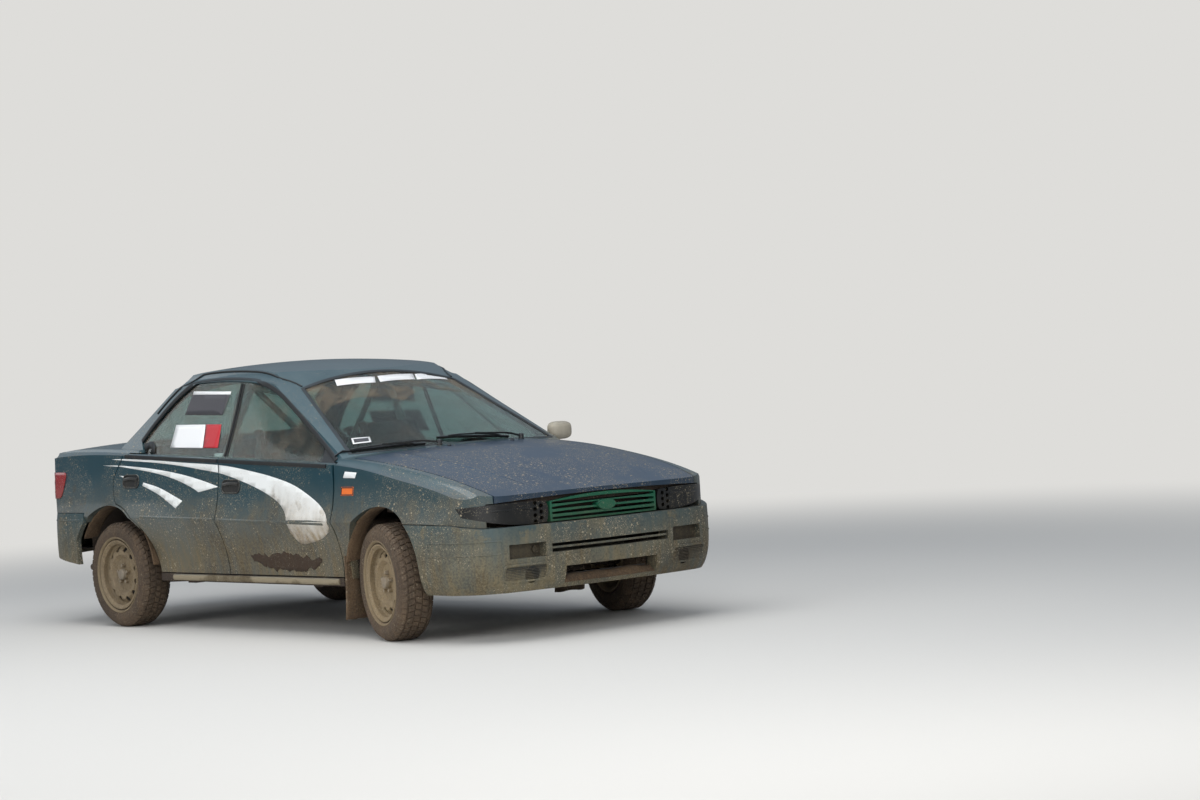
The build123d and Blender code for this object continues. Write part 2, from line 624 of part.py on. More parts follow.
def roll_cage():
    """Main hoop, front legs along the screen pillars, rear stays, a diagonal and door bars."""
    floor = FLOOR_TOP + 4
    hoop_x = DOOR_B_X - 170
    leg_x = DOOR_FRONT_X - 130
    stay_x = tail(180)
    corner_y = 500
    cage = bent_tube([
        (hoop_x, -CAGE_HALF, floor), (hoop_x, -CAGE_HALF, 930), (hoop_x, -corner_y, CAGE_TOP_Z),
        (hoop_x, corner_y, CAGE_TOP_Z), (hoop_x, CAGE_HALF, 930), (hoop_x, CAGE_HALF, floor)], TUBE_R)
    cage += rod((hoop_x, -CAGE_JOINT_Y, CAGE_TOP_Z), (hoop_x, CAGE_HALF, floor + 60), BRACE_R)
    for side in (-1, 1):
        y = side * CAGE_HALF
        joint = (hoop_x, side * CAGE_JOINT_Y, CAGE_TOP_Z)
        cage += bent_tube([(leg_x, y, floor), (leg_x, y, 850), (nose(-1010), side * 480, 1230), joint], LEG_R)
        cage += rod(joint, (stay_x, side * CAGE_JOINT_Y, BOOT_FLOOR_Z + TUBE_R), BRACE_R)
        cage += rod((hoop_x, y, 640), (leg_x, y, 430), BRACE_R)
        cage += rod((hoop_x, y, 430), (leg_x, y, 640), BRACE_R - 2)
        cage += foot_plate(hoop_x, y, FLOOR_TOP) + foot_plate(leg_x, y, FLOOR_TOP)
        cage += foot_plate(stay_x, side * CAGE_JOINT_Y, BOOT_FLOOR_Z + 6)
    return cage


SEAT_Y = 350
SEAT_X = DOOR_B_X + 120
DASH_HALF = 590


def seat(side):
    """One-piece competition bucket seat on its floor mount."""
    floor = FLOOR_TOP

    def at(dx, z):
        return (SEAT_X + dx, z)

    core = profile_prism([
        Line(at(440, 370), at(430, 430)),
        ThreePointArc(at(430, 430), at(220, 405), at(40, 430)),
        ThreePointArc(at(40, 430), at(-60, 760), at(-180, 1080)),
        Line(at(-180, 1080), at(-235, 1070)),
        ThreePointArc(at(-235, 1070), at(-120, 720), at(-40, 370)),
        Line(at(-40, 370), at(440, 370)),
    ], -170, 170)
    wing = profile_prism([
        Line(at(440, 350), at(425, 500)),
        ThreePointArc(at(425, 500), at(250, 520), at(130, 560)),
        ThreePointArc(at(130, 560), at(60, 760), at(-60, 930)),
        Line(at(-60, 930), at(-195, 900)),
        ThreePointArc(at(-195, 900), at(-120, 620), at(-50, 350)),
        Line(at(-50, 350), at(440, 350)),
    ], 170, 212)
    head = profile_prism([
        Line(at(-90, 960), at(-90, 1060)), Line(at(-90, 1060), at(-232, 1060)),
        Line(at(-232, 1060), at(-205, 940)), Line(at(-205, 940), at(-90, 960)),
    ], 150, 200)
    shape = core + wing + wing.mirror(Plane.XZ) + head + head.mirror(Plane.XZ)
    for y in (-190, 160):
        shape += block(SEAT_X + 20, SEAT_X + 400, y, y + 30, floor, 375)
    return shape.translate((0, side * SEAT_Y, 0))


def dashboard():
    front, low = DOOR_FRONT_X - 190, 610

    def at(dx, z):
        return (front + dx, z)

    return profile_prism([
        Line((BULKHEAD_X, 830), (BULKHEAD_X, low)), Line((BULKHEAD_X, low), at(60, low)),
        Line(at(60, low), at(0, 760)), Line(at(0, 760), at(30, 840)),
        ThreePointArc(at(30, 840), at(130, 856), (BULKHEAD_X, 830)),
    ], -DASH_HALF, DASH_HALF)


WHEEL_CENTRE = (DOOR_FRONT_X - 350, 350, 800)


def steering_wheel():
    """Three-spoke wheel on its column, which runs into the dashboard."""
    tilt = radians(24)
    axis = Vector(cos(tilt), 0, -sin(tilt))
    plane = Plane(origin=WHEEL_CENTRE, x_dir=(0, 1, 0), z_dir=axis)
    rim = plane * Torus(172, 14)
    hub = extrude(plane * Circle(34), 40)
    for angle in (90, 210, 330):
        hub += extrude(plane * Rot(0, 0, angle) * Pos(90, 0) * Rectangle(150, 26), 6)
    centre = Vector(*WHEEL_CENTRE)
    reach = (DOOR_FRONT_X - 190 - WHEEL_CENTRE[0]) / cos(tilt)
    column = rod(tuple(centre + axis * 30), tuple(centre + axis * (reach + 60)), 24)
    return (rim + hub + column) - dashboard()


def fuel_tank():
    return block(tail(120), tail(420), -330, 330, 310, BOOT_FLOOR_Z)


def mud_flaps():
    """Four hanging flaps behind the wheels."""
    flaps = []
    for side in (-1, 1):
        front_x = FRONT_ARCH_X - FRONT_ARCH[1] - 14
        flaps.append(block(front_x, front_x + 6, side * 590, side * 800, 95, SILL_Z))
        rear_x = REAR_ARCH_X - REAR_ARCH[1] - 14
        flaps.append(block(rear_x, rear_x + 6, side * 530, side * 700, 170, BOOT_FLOOR_Z))
    return flaps


def sump_guard():
    """Folded plate under the engine, bolted below the crossmember and the front rails."""
    plate = side_prism([
        (nose(-150), 244), (nose(-150), 250), (nose(520), 250), (nose(700), 300), (nose(706), 296), (nose(524), 244),
    ], -300, 300)
    for side in (-1, 1):
        plate += block(nose(600), nose(660), side * 300, side * 420, 268, 274)
        plate += block(nose(600), nose(660), side * 400, side * 420, 268, 360)
    return solid_of(plate)


def handle_block(x0, x1, z):
    return block(x0, x1, -REACH / 2, -DOOR_INNER_Y, z - 24, z + 24)


HANDLE_FRONT = (DOOR_B_X + 96, DOOR_B_X + 186, 782)
HANDLE_REAR = (tail(165), tail(255), 818)


def door_trim(body, handle, sail):
    """Handle let into the skin and, on a front door, the sail that closes the glass."""
    pieces = [solid_of(body.shell & handle_block(*handle))]
    if sail:
        window = offset_prism(side_glass_face(), 0, -REACH / 2, 0)
        pieces.append(solid_of(body.sail & window & block(SAIL_X, BELT_FRONT_X + 40, -REACH / 2, 0, 0, REACH)))
    return pieces


INDICATOR = (nose(-335), nose(-228), 733, 777)


def side_indicator(body):
    x0, x1, z0, z1 = INDICATOR
    return body.shell & block(x0, x1, -REACH / 2, -700, z0, z1)


def screen_z(x, y, lift=0):
    """Height of the front screen's surface."""
    angle = radians(SCREEN_SLOPE)
    fall = SCREEN_BOW - sqrt(SCREEN_BOW ** 2 - y ** 2)
    return SCREEN_FOOT[1] + (SCREEN_FOOT[0] - x) * tan(angle) - (fall + GLASS_INSET - lift) / cos(angle)


def wipers(body):
    """Two parked wiper arms, each from its pivot in the cowl along the screen."""
    arms = []
    for y_pivot, y_tip, back in ((-230, -610, 60), (330, -60, 45)):
        pivot_x = HOOD_BACK_X - 30 - 0.0003 * y_pivot ** 2 - 10
        tip_x = pivot_x - back - 0.0003 * (y_tip ** 2 - y_pivot ** 2)
        foot = (pivot_x, y_pivot, screen_z(pivot_x, y_pivot) + 22)
        tip = (tip_x, y_tip, screen_z(tip_x, y_tip, GLASS_INSET) + 8)
        pivot = rod((pivot_x, y_pivot, foot[2] - 60), foot, 8) - body.outer - body.house
        arms.append(solid_of(rod(foot, tip, 5) + pivot))
    return arms


def mirror_left(body):
    """Door mirror on the left sail."""
    shell = extrude(Plane.YZ.offset(MIRROR[0]) * Pos(MIRROR[1], MIRROR[2]) * RectangleRounded(150, 104, 30), 70)
    arm = block(MIRROR[0] - 4, MIRROR[0] + 36, 650, MIRROR[1] - 40, MIRROR[2] - 60, MIRROR[2] - 34)
    return (shell + arm) - body.glass_face


MIRROR = (DOOR_FRONT_X - 160, 836, 966)


def front_wing(body, door_hinge_x):
    """Right wing: skin from the door's edge to the lamp, with the arch and lamp openings."""
    region = block(DOOR_FRONT_X - 20, nose(900), -REACH / 2, -HOOD_SIDE[1] + 120, DOOR_BOTTOM_Z - SHUT_GAP, 1100)
    wing = body.shell & region
    wing -= block(DOOR_FRONT_X - 30, nose(660), -650, 0, 0, 780)
    wing -= extrude(hood_face(SHUT_GAP), REACH)
    wing -= arch_cutter(FRONT_ARCH_X, FRONT_ARCH, -REACH / 2, 0)
    wing -= bumper_line()[0]
    wing -= lamp_prism()
    wing -= offset_prism(front_door_face(), SHUT_GAP, -REACH / 2, 0)
    wing -= body.house
    wing -= block(DOOR_FRONT_X - 60, HOOD_BACK_X + 20, -HOOD_SIDE[0] - 8, 0, 800, 1100)
    wing -= front_prism([
        Line((-HOOD_SIDE[1] - 60, 0), (0, 0)), Line((0, 0), (0, 1100)),
        Line((0, 1100), (-HOOD_SIDE[1] - 60, 1100)), Line((-HOOD_SIDE[1] - 60, 1100), (-HOOD_SIDE[1] - 60, 0)),
    ], nose(560), nose(950)) & nose_cut()
    wing -= rod((door_hinge_x, -HINGE_Y, 0), (door_hinge_x, -HINGE_Y, REACH), HINGE_SWEEP)
    return wing


def hood(body):
    panel = body.shell & extrude(hood_face(), REACH)
    return panel - nose_cut() - block(-REACH, REACH, -REACH, REACH, 0, 500)


def boot_lid(body):
    panel = body.shell & extrude(boot_face(), REACH)
    panel -= block(BOOT_BACK_X, 0, -REACH, REACH, 0, 905)
    panel -= block(-REACH, 0, -REACH, REACH, 0, BOOT_LIP_Z)
    for y0, y1 in ((-REACH, -BOOT_LIP_HALF), (BOOT_LIP_HALF, REACH)):
        panel -= block(-REACH, 0, y0, y1, 0, 905 + SHUT_GAP)
    return panel


# Running gear
def steel_rim():
    """Pressed steel wheel about the Y axis, its outer face towards -Y and its middle at the origin."""
    half = RIM_W / 2
    barrel = [
        (RIM_R, -half), (RIM_R, -half + 7), (RIM_SEAT_R, -half + 16), (RIM_SEAT_R, -half + 40),
        (RIM_R - 36, -half + 52), (RIM_R - 36, half - 52), (RIM_SEAT_R, half - 30), (RIM_SEAT_R, half - 16),
        (RIM_R, half - 7), (RIM_R, half), (RIM_R - 8, half), (RIM_SEAT_R - RIM_WALL, half - 12),
        (RIM_SEAT_R - RIM_WALL, half - 32), (RIM_R - 36 - RIM_WALL, half - 54),
        (RIM_R - 36 - RIM_WALL, -half + 48), (RIM_SEAT_R - RIM_WALL, -half + 36),
        (RIM_SEAT_R - RIM_WALL, -half + 12), (RIM_R - 8, -half),
    ]
    rim = revolve(Plane.XY * make_face(Polyline(*barrel, close=True)), Axis.Y)
    face = -DISC_FACE
    join_r = RIM_SEAT_R - RIM_WALL + 1
    disc = [
        (join_r, face + 26), (138, face - 6), (112, face - 4), (92, face + 16), (HUB_R, face + 14),
        (34, face + 14), (31, face - 10), (HUB_BORE_R, face - 10), (HUB_BORE_R, face + HUB_LENGTH),
        (HUB_R, face + HUB_LENGTH), (HUB_R, face + 22), (96, face + 22), (114, face + 3), (137, face + 1),
        (join_r, face + 33),
    ]
    rim += revolve(Plane.XY * make_face(Polyline(*disc, close=True)), Axis.Y)
    for index in range(RIM_HOLES):
        angle = 2 * pi * (index + 0.5) / RIM_HOLES
        x, z = RIM_HOLE_CIRCLE_R * cos(angle), RIM_HOLE_CIRCLE_R * sin(angle)
        rim -= y_disc(x, face - 30, face + 30, z, RIM_HOLE_R)
    for index in range(LUGS):
        angle = 2 * pi * index / LUGS + pi / 2
        x, z = LUG_CIRCLE_R * cos(angle), LUG_CIRCLE_R * sin(angle)
        rim += y_disc(x, face + 14, face - 6, z, 10)
    return rim


HUB_BORE_R = 20.5
HUB_LENGTH = 62
SPINDLE_R = 20
RIM_HOLES = 12
RIM_HOLE_CIRCLE_R = 143
RIM_HOLE_R = 16
LUGS = 5


def tyre():
    """Road tyre about the Y axis, middle at the origin, seated on the rim."""
    half = TYRE_W / 2
    bead = RIM_W / 2 - 7
    profile = [
        Line((RIM_SEAT_R, -bead + 9), (RIM_SEAT_R, bead - 9)),
        Line((RIM_SEAT_R, bead - 9), (RIM_R, bead)),
        ThreePointArc((RIM_R, bead), (RIM_R + 50, half), (TYRE_R - 22, half - 7)),
        ThreePointArc((TYRE_R - 22, half - 7), (TYRE_R - 7, half - 13), (TYRE_R - 2, half - 26)),
        ThreePointArc((TYRE_R - 2, half - 26), (TYRE_R, 0), (TYRE_R - 2, -half + 26)),
        ThreePointArc((TYRE_R - 2, -half + 26), (TYRE_R - 7, -half + 13), (TYRE_R - 22, -half + 7)),
        ThreePointArc((TYRE_R - 22, -half + 7), (RIM_R + 50, -half), (RIM_R, -bead)),
        Line((RIM_R, -bead), (RIM_SEAT_R, -bead + 9)),
    ]
    return revolve(Plane.XY * make_face(profile), Axis.Y)


def kingpin(side):
    """Lower and upper points of one steering axis."""
    low = Vector(FRONT_AXLE_X, side * KINGPIN_LOW[0], KINGPIN_LOW[1])
    top = Vector(FRONT_AXLE_X - 18, side * KINGPIN_TOP[0], KINGPIN_TOP[1])
    return low, top


def steered(solid, side):
    """Turn a front-wheel piece from straight ahead to its parked angle."""
    low, top = kingpin(side)
    return solid.rotate(Axis(low, top - low), STEER_AT_REST)


def placed_wheel(solid, side, axle_x, half_track):
    """Wheel piece made about the Y axis, put on one side of an axle."""
    turned = solid if side < 0 else solid.rotate(Axis.Z, 180)
    return turned.translate((axle_x, side * half_track, WHEEL_Z))


def front_knuckle(side):
    """Strut inboard of the tyre, hub carrier, ball joint and spindle, all turning about the steering axis."""
    low, top = kingpin(side)
    foot = Vector(FRONT_AXLE_X, side * STRUT_FOOT_Y, WHEEL_Z - 30)
    axis = (top - foot).normalized()

    def on_strut(height):
        return tuple(foot + axis * ((height - foot.Z) / axis.Z))

    strut = rod(tuple(foot), on_strut(680), 25) + rod(on_strut(680), on_strut(STRUT_TOP_Z - 3), 11)
    spring = rod(on_strut(622), on_strut(STRUT_TOP_Z - 14), 54) - rod(on_strut(600), on_strut(900), 42)
    spring += rod(on_strut(614), on_strut(622), 58) + rod(on_strut(STRUT_TOP_Z - 18), on_strut(STRUT_TOP_Z - 12), 54)
    y_hub = side * (TRACK_FRONT_HALF + DISC_FACE - HUB_LENGTH)
    carrier = y_disc(FRONT_AXLE_X, side * 650, y_hub - side * 6, WHEEL_Z, 48)
    carrier += block(FRONT_AXLE_X - 32, FRONT_AXLE_X + 32, side * (STRUT_FOOT_Y - 10), side * 660, WHEEL_Z - 40, WHEEL_Z + 60)
    pin = (top - low).normalized()
    carrier += rod(tuple(low + pin * 14), tuple(low + pin * 54), 14)
    arm = block(FRONT_AXLE_X - 120, FRONT_AXLE_X, side * 640, side * 664, WHEEL_Z - 36, WHEEL_Z - 16)
    spindle = y_disc(FRONT_AXLE_X, y_hub - side * 8, side * (TRACK_FRONT_HALF + DISC_FACE - 2), WHEEL_Z, SPINDLE_R)
    return steered(strut + spring + carrier + arm + spindle, side)


STRUT_FOOT_Y = 590


def front_crossmember():
    """Subframe with engine mounts and lower arms out to the ball joints."""
    beam = block(nose(-85), nose(55), -RAIL_Y + 20, RAIL_Y - 20, 250, 310)
    for side in (-1, 1):
        beam += block(nose(-75), nose(45), side * (RAIL_Y - 30), side * (RAIL_Y + 30), 250, 360)
        beam += block(nose(30), nose(120), side * 180, side * 260, 250, ENGINE_Z[0])
        low, _ = kingpin(side)
        arm = Plane.XY.offset(KINGPIN_LOW[1] - 12) * make_face(Polyline(
            (nose(-190), side * 400), (nose(-60), side * 380), (nose(40), side * 380), (nose(25), side * 700),
            (nose(-25), side * 700), close=True))
        plate = extrude(arm, 20, dir=(0, 0, 1))
        beam += plate + block(nose(-60), nose(40), side * 380, side * 400, KINGPIN_LOW[1] - 12, 255)
    return solid_of(beam)


ENGINE_Z = (380, 640)
ENGINE_X = (nose(60), nose(520))
ENGINE_HALF = 330


def engine():
    return block(*ENGINE_X, -ENGINE_HALF, ENGINE_HALF, *ENGINE_Z)


def rear_suspension():
    """Crossmember, lateral links, struts, hub carriers and spindles."""
    frame = block(tail(-40), tail(60), -330, 330, 300, 350)
    frame += block(tail(-40), tail(60), -330, -270, 340, 430) + block(tail(-40), tail(60), 270, 330, 340, 430)
    for side in (-1, 1):
        hub_end = side * (TRACK_REAR_HALF + DISC_FACE - HUB_LENGTH - 6)
        for dx in (-70, 70):
            frame += rod((tail(dx * 0.4 + 10), side * 300, 320), (tail(dx), side * 640, 262), 14)
        frame += y_disc(REAR_AXLE_X, side * 600, hub_end, WHEEL_Z, 52)
        frame += block(tail(-84), tail(84), side * 618, side * 650, 246, 330)
        frame += y_disc(REAR_AXLE_X, hub_end - side * 2, side * (TRACK_REAR_HALF + DISC_FACE - 2), WHEEL_Z, SPINDLE_R)
        top_z = REAR_ARCH[0] + REAR_ARCH[1]
        frame += rod((REAR_AXLE_X, side * 600, WHEEL_Z), (REAR_ARCH_X, side * 572, 560), 25)
        frame += rod((REAR_ARCH_X, side * 572, 500), (REAR_ARCH_X, side * 572, top_z - 12), 40)
        frame += rod((REAR_ARCH_X, side * 572, 600), (REAR_ARCH_X, side * 572, top_z - 0.3), 10)
    return solid_of(frame)


def exhaust():
    """Pipe under the tunnel to a silencer hung below the boot floor, and the tail pipe."""
    z, box_z, out_z = EXHAUST_Z
    path = [(nose(-160), 0, z), (tail(480), 0, z), (tail(-230), -385, z), (tail(-360), -420, box_z), (tail(-470), -420, box_z)]
    pipe = bent_tube(path, 26, 90)
    box = rod((tail(-420), -420, box_z), (SILENCER_END_X, -420, box_z), 62)
    outlet = rod((SILENCER_END_X + 10, -420, out_z), (TAIL_PIPE_X, -420, out_z), TAIL_PIPE_R)
    hanger = block(tail(-610), tail(-590), -430, -410, box_z + 40, BOOT_FLOOR_Z)
    bore = rod((TAIL_PIPE_X + 120, -420, out_z), (TAIL_PIPE_X - 1, -420, out_z), TAIL_PIPE_R - 3)
    return pipe + box + outlet + hanger - bore


EXHAUST_Z = (SILL_Z - 31, 330, 291)  # heights of the long pipe, the silencer and the outlet
SILENCER_END_X = tail(-740)
TAIL_PIPE_X = BUMPER_TAIL_X + 5
TAIL_PIPE_R = 20

# Bumpers: height and tuck-in of each level
BUMPER_LEVELS = [(240, 46), (300, 16), (420, 0), (540, 0), (660, 10)]


def bumper_loft(inset):
    """Solid round the whole car in plan, tucked in towards the bottom."""
    wires = [plan_wire(BUMPER_NOSE_X, BUMPER_TAIL_X, BODY_HALF + 4, z, tuck + inset) for z, tuck in BUMPER_LEVELS]
    return Solid.make_loft(wires)


def bumper_ring():
    """Skin of both bumpers in one ring."""
    return bumper_loft(0) - bumper_loft(BUMPER_DEPTH)


REAR_BUMPER_END_X = REAR_SPLIT_X - SHUT_GAP / 2
SLOT_Z = (418, 462)
BOX_Z = (404, 474)


def front_bumper(ring):
    front = ring & bumper_line(-SHUT_GAP / 2)[0] & block(FRONT_AXLE_X, nose(950), -REACH, REACH, 0, REACH)
    front -= arch_cutter(FRONT_ARCH_X, FRONT_ARCH, -REACH / 2, REACH / 2)

    def window(y0, y1, z0, z1):
        return block(nose(560), nose(950), y0, y1, z0, z1)

    front -= window(-383, 383, *SLOT_Z)
    front -= window(-300, 300, 262, 345)
    for side in (-1, 1):
        front -= window(side * 417, side * 628, *BOX_Z)
        front -= rod((nose(600), side * 500, 322), (nose(950), side * 500, 322), 42)
    front += block(nose(690), nose(735), -480, 480, 348, BOX_Z[0] - 2)
    return front


def rear_bumper(ring):
    region = block(tail(-1100), REAR_BUMPER_END_X, -REACH, REACH, 0, BUMPER_TOP_REAR - SHUT_GAP / 2)
    bumper = (ring & region) - rear_arch(-REACH / 2, REACH / 2)
    bumper -= bumper_loft(REAR_END_WALL) & block(tail(-520), tail(-200), -REACH / 2, REACH / 2, 0, 900)
    below = REAR_SKIRT + [(tail(-1100), 0), (tail(-200), 0)]
    return bumper - side_prism(below, -REACH / 2, REACH / 2)


def grille(body):
    """Frame, three slats and a plain eye-shaped boss, cut from the curved nose."""
    half = 348
    outline = front_prism([
        Line((-half, 566), (half, 566)), Line((half, 566), (half, 664)),
        ThreePointArc((half, 664), (0, 688), (-half, 664)), Line((-half, 664), (-half, 566)),
    ], nose(700), nose(950))
    slab = body.shell & outline
    for row in range(4):
        z = 575 + row * 25
        rise = 2 + row * 3
        slot = front_prism([
            Line((-half + 12, z), (half - 12, z)), Line((half - 12, z), (half - 12, z + 11)),
            ThreePointArc((half - 12, z + 11), (0, z + 11 + rise), (-half + 12, z + 11)),
            Line((-half + 12, z + 11), (-half + 12, z)),
        ], nose(700), nose(950))
        slab -= slot
    boss = Plane.YZ.offset(NOSE_X - SKIN) * Pos(0, 625) * Ellipse(58, 26)
    return slab + extrude(boss, SKIN + 12)


def headlamp_cover(body):
    cover = body.shell & lamp_prism()
    for column, row in [(0, -1), (0, 0), (0, 1), (1, -1.5), (1, -0.5), (1, 0.5), (1, 1.5)]:
        y = -400 - column * 36
        z = 618 + row * 30
        cover -= rod((nose(600), y, z), (nose(950), y, z), 11)
    return cover


def tail_lamp(body):
    return body.shell & block(tail(-1000), tail(-745), -REACH / 2, -480, 745, 885)


def screen_sheet(foot, slope, bow, sign, opening):
    outer = slope_cylinder(foot, slope, bow, sign, GLASS_INSET)
    inner = slope_cylinder(foot, slope, bow, sign, GLASS_INSET + GLASS)
    return (screen_prism(foot, slope, sign, opening) & outer) - inner


def write(name, solids):
    """One STEP file per node; like pieces on one body share a node."""
    solids = solids if isinstance(solids, list) else [solids]
    flat = [piece for solid in solids for piece in solid.solids()]
    shape = flat[0] if len(flat) == 1 else Compound(flat)
    export_step(shape, os.path.join("parts", name + ".step"))


FRONT_HINGE_X = DOOR_FRONT_X - HINGE_BACK
REAR_HINGE_X = DOOR_B_X - SHUT_GAP - HINGE_BACK


def body_nodes(body):
    front_face, rear_face = front_door_face(), rear_door_face()
    doors_cut = offset_prism(front_face, SHUT_GAP, -REACH / 2, REACH / 2)
    doors_cut += offset_prism(rear_face, SHUT_GAP, -REACH / 2, REACH / 2)
    front_deep = (DOOR_B_X + 36, DOOR_FRONT_X)
    rear_deep = (tail(0), DOOR_B_X - SHUT_GAP - 46)
    front_door = right_door(body, front_face, front_deep, REAR_HINGE_X) - handle_block(*HANDLE_FRONT)
    rear_door = right_door(body, rear_face, rear_deep, None) - handle_block(*HANDLE_REAR)
    front_glass = side_glass(B_TOP[0], SAIL_X, body.sheet)
    rear_glass = side_glass(tail(0), B_TOP[0] - SHUT_GAP, body.sheet)
    front_trim = door_trim(body, HANDLE_FRONT, True)
    rear_trim = door_trim(body, HANDLE_REAR, False)
    indicator = side_indicator(body)
    wing = front_wing(body, FRONT_HINGE_X) - indicator
    ring = bumper_ring()
    cover = headlamp_cover(body)
    lamp = tail_lamp(body)
    frame = cabin_frame(body, doors_cut) - lamp - lamp.mirror(Plane.XZ)
    front_panel = nose_panel(body)
    rail = inner_wing(body, -1) - front_panel
    engine_bay = [bulkhead(body), front_panel] + both_sides(rail)
    nodes = {
        "cabin_frame": frame,
        "floor_pan": floor_pan(body),
        "boot_pan": boot_pan(body),
        "engine_bay": engine_bay,
        "hood": hood(body),
        "boot_lid": boot_lid(body),
        "windscreen": screen_sheet(SCREEN_FOOT, SCREEN_SLOPE, SCREEN_BOW, 1, SCREEN_OPENING),
        "rear_window": screen_sheet(REAR_FOOT, REAR_SLOPE, REAR_BOW, -1, REAR_OPENING),
        "front_bumper": front_bumper(ring),
        "rear_bumper": rear_bumper(ring),
        "grille": grille(body),
        "headlamp_covers": both_sides(cover),
        "tail_lamps": both_sides(lamp),
        "side_indicators": both_sides(indicator),
    }
    pairs = {
        "front_wing": wing, "front_door": front_door, "rear_door": rear_door,
        "front_door_glass": front_glass, "rear_door_glass": rear_glass,
    }
    for name, solid in pairs.items():
        nodes[name + "_right"] = solid
        nodes[name + "_left"] = solid.mirror(Plane.XZ)
    for name, pieces in (("front_door_trim", front_trim), ("rear_door_trim", rear_trim)):
        nodes[name + "_right"] = pieces
        nodes[name + "_left"] = [piece.mirror(Plane.XZ) for piece in pieces]
    return nodes


def fittings(body):
    return {
        "roll_cage": roll_cage(),
        "front_seats": [seat(-1), seat(1)],
        "dashboard": dashboard(),
        "steering_wheel": steering_wheel(),
        "engine": engine(),
        "front_crossmember": front_crossmember(),
        "rear_suspension": rear_suspension(),
        "exhaust": exhaust(),
        "fuel_tank": fuel_tank(),
        "mud_flaps": mud_flaps(),
        "sump_guard": sump_guard(),
        "wipers": wipers(body),
        "mirror_left": mirror_left(body),
    }


def running_gear():
    nodes = {}
    rim_shape, tyre_shape = steel_rim(), tyre()
    for side, name in ((-1, "right"), (1, "left")):
        nodes["front_knuckle_" + name] = front_knuckle(side)
        for kind, shape in (("rim", rim_shape), ("tyre", tyre_shape)):
            front = placed_wheel(shape, side, FRONT_AXLE_X, TRACK_FRONT_HALF)
            nodes[f"front_{kind}_{name}"] = steered(front, side)
            nodes[f"rear_{kind}_{name}"] = placed_wheel(shape, side, REAR_AXLE_X, TRACK_REAR_HALF)
    return nodes


def main():
    os.makedirs("parts", exist_ok=True)
    body = Body()
    nodes = {**body_nodes(body), **fittings(body), **running_gear()}
    for name, solids in nodes.items():
        write(name, solids)


if __name__ == "__main__":
    main()
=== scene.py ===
"""Looks for a mud-spattered rally saloon: paint, glass, tyres, cabin and trim round its fixed frame.

Laid out as an add-on and run as a script. Metres; +X forward, +Y left, +Z up.
"""
import json
import math
import random

import bmesh
import bpy
from mathutils import Matrix, Vector, noise
from mathutils.bvhtree import BVHTree
from mathutils.geometry import delaunay_2d_cdt


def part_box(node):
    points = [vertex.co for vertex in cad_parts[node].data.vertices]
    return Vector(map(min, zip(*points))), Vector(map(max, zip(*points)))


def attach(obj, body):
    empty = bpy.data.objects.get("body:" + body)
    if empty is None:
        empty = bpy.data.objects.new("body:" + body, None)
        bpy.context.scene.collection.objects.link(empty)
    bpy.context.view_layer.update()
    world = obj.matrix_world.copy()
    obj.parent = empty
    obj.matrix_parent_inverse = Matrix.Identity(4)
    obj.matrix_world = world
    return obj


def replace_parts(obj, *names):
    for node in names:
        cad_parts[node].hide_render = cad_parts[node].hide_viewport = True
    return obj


bl_info = {
    "name": "Rally Saloon Dresser",
    "version": (1, 0, 0),
    "blender": (4, 5, 0),
    "location": "View3D > Sidebar > Rally Saloon",
    "description": "Dresses a rally saloon's frame with muddy paint, glass, gravel tyres, seats and trim",
    "category": "Object",
}

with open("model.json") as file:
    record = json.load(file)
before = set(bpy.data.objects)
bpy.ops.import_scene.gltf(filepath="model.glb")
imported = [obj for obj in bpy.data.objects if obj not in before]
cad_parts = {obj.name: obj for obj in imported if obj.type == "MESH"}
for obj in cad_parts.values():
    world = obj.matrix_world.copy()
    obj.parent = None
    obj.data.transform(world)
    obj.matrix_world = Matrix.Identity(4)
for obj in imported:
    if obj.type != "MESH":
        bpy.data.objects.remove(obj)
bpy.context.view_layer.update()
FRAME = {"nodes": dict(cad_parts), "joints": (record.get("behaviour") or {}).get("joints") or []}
NODES = FRAME["nodes"]
JOINTS = {joint["name"]: joint for joint in FRAME["joints"]}
SIDES = (("right", -1), ("left", 1))


# Colours and shader graphs
def linear(code, alpha=1.0):
    """Linear colour of a six-digit sRGB code."""
    parts = [int(code[i:i + 2], 16) / 255 for i in (0, 2, 4)]
    return (*[c / 12.92 if c <= 0.04045 else ((c + 0.055) / 1.055) ** 2.4 for c in parts], alpha)


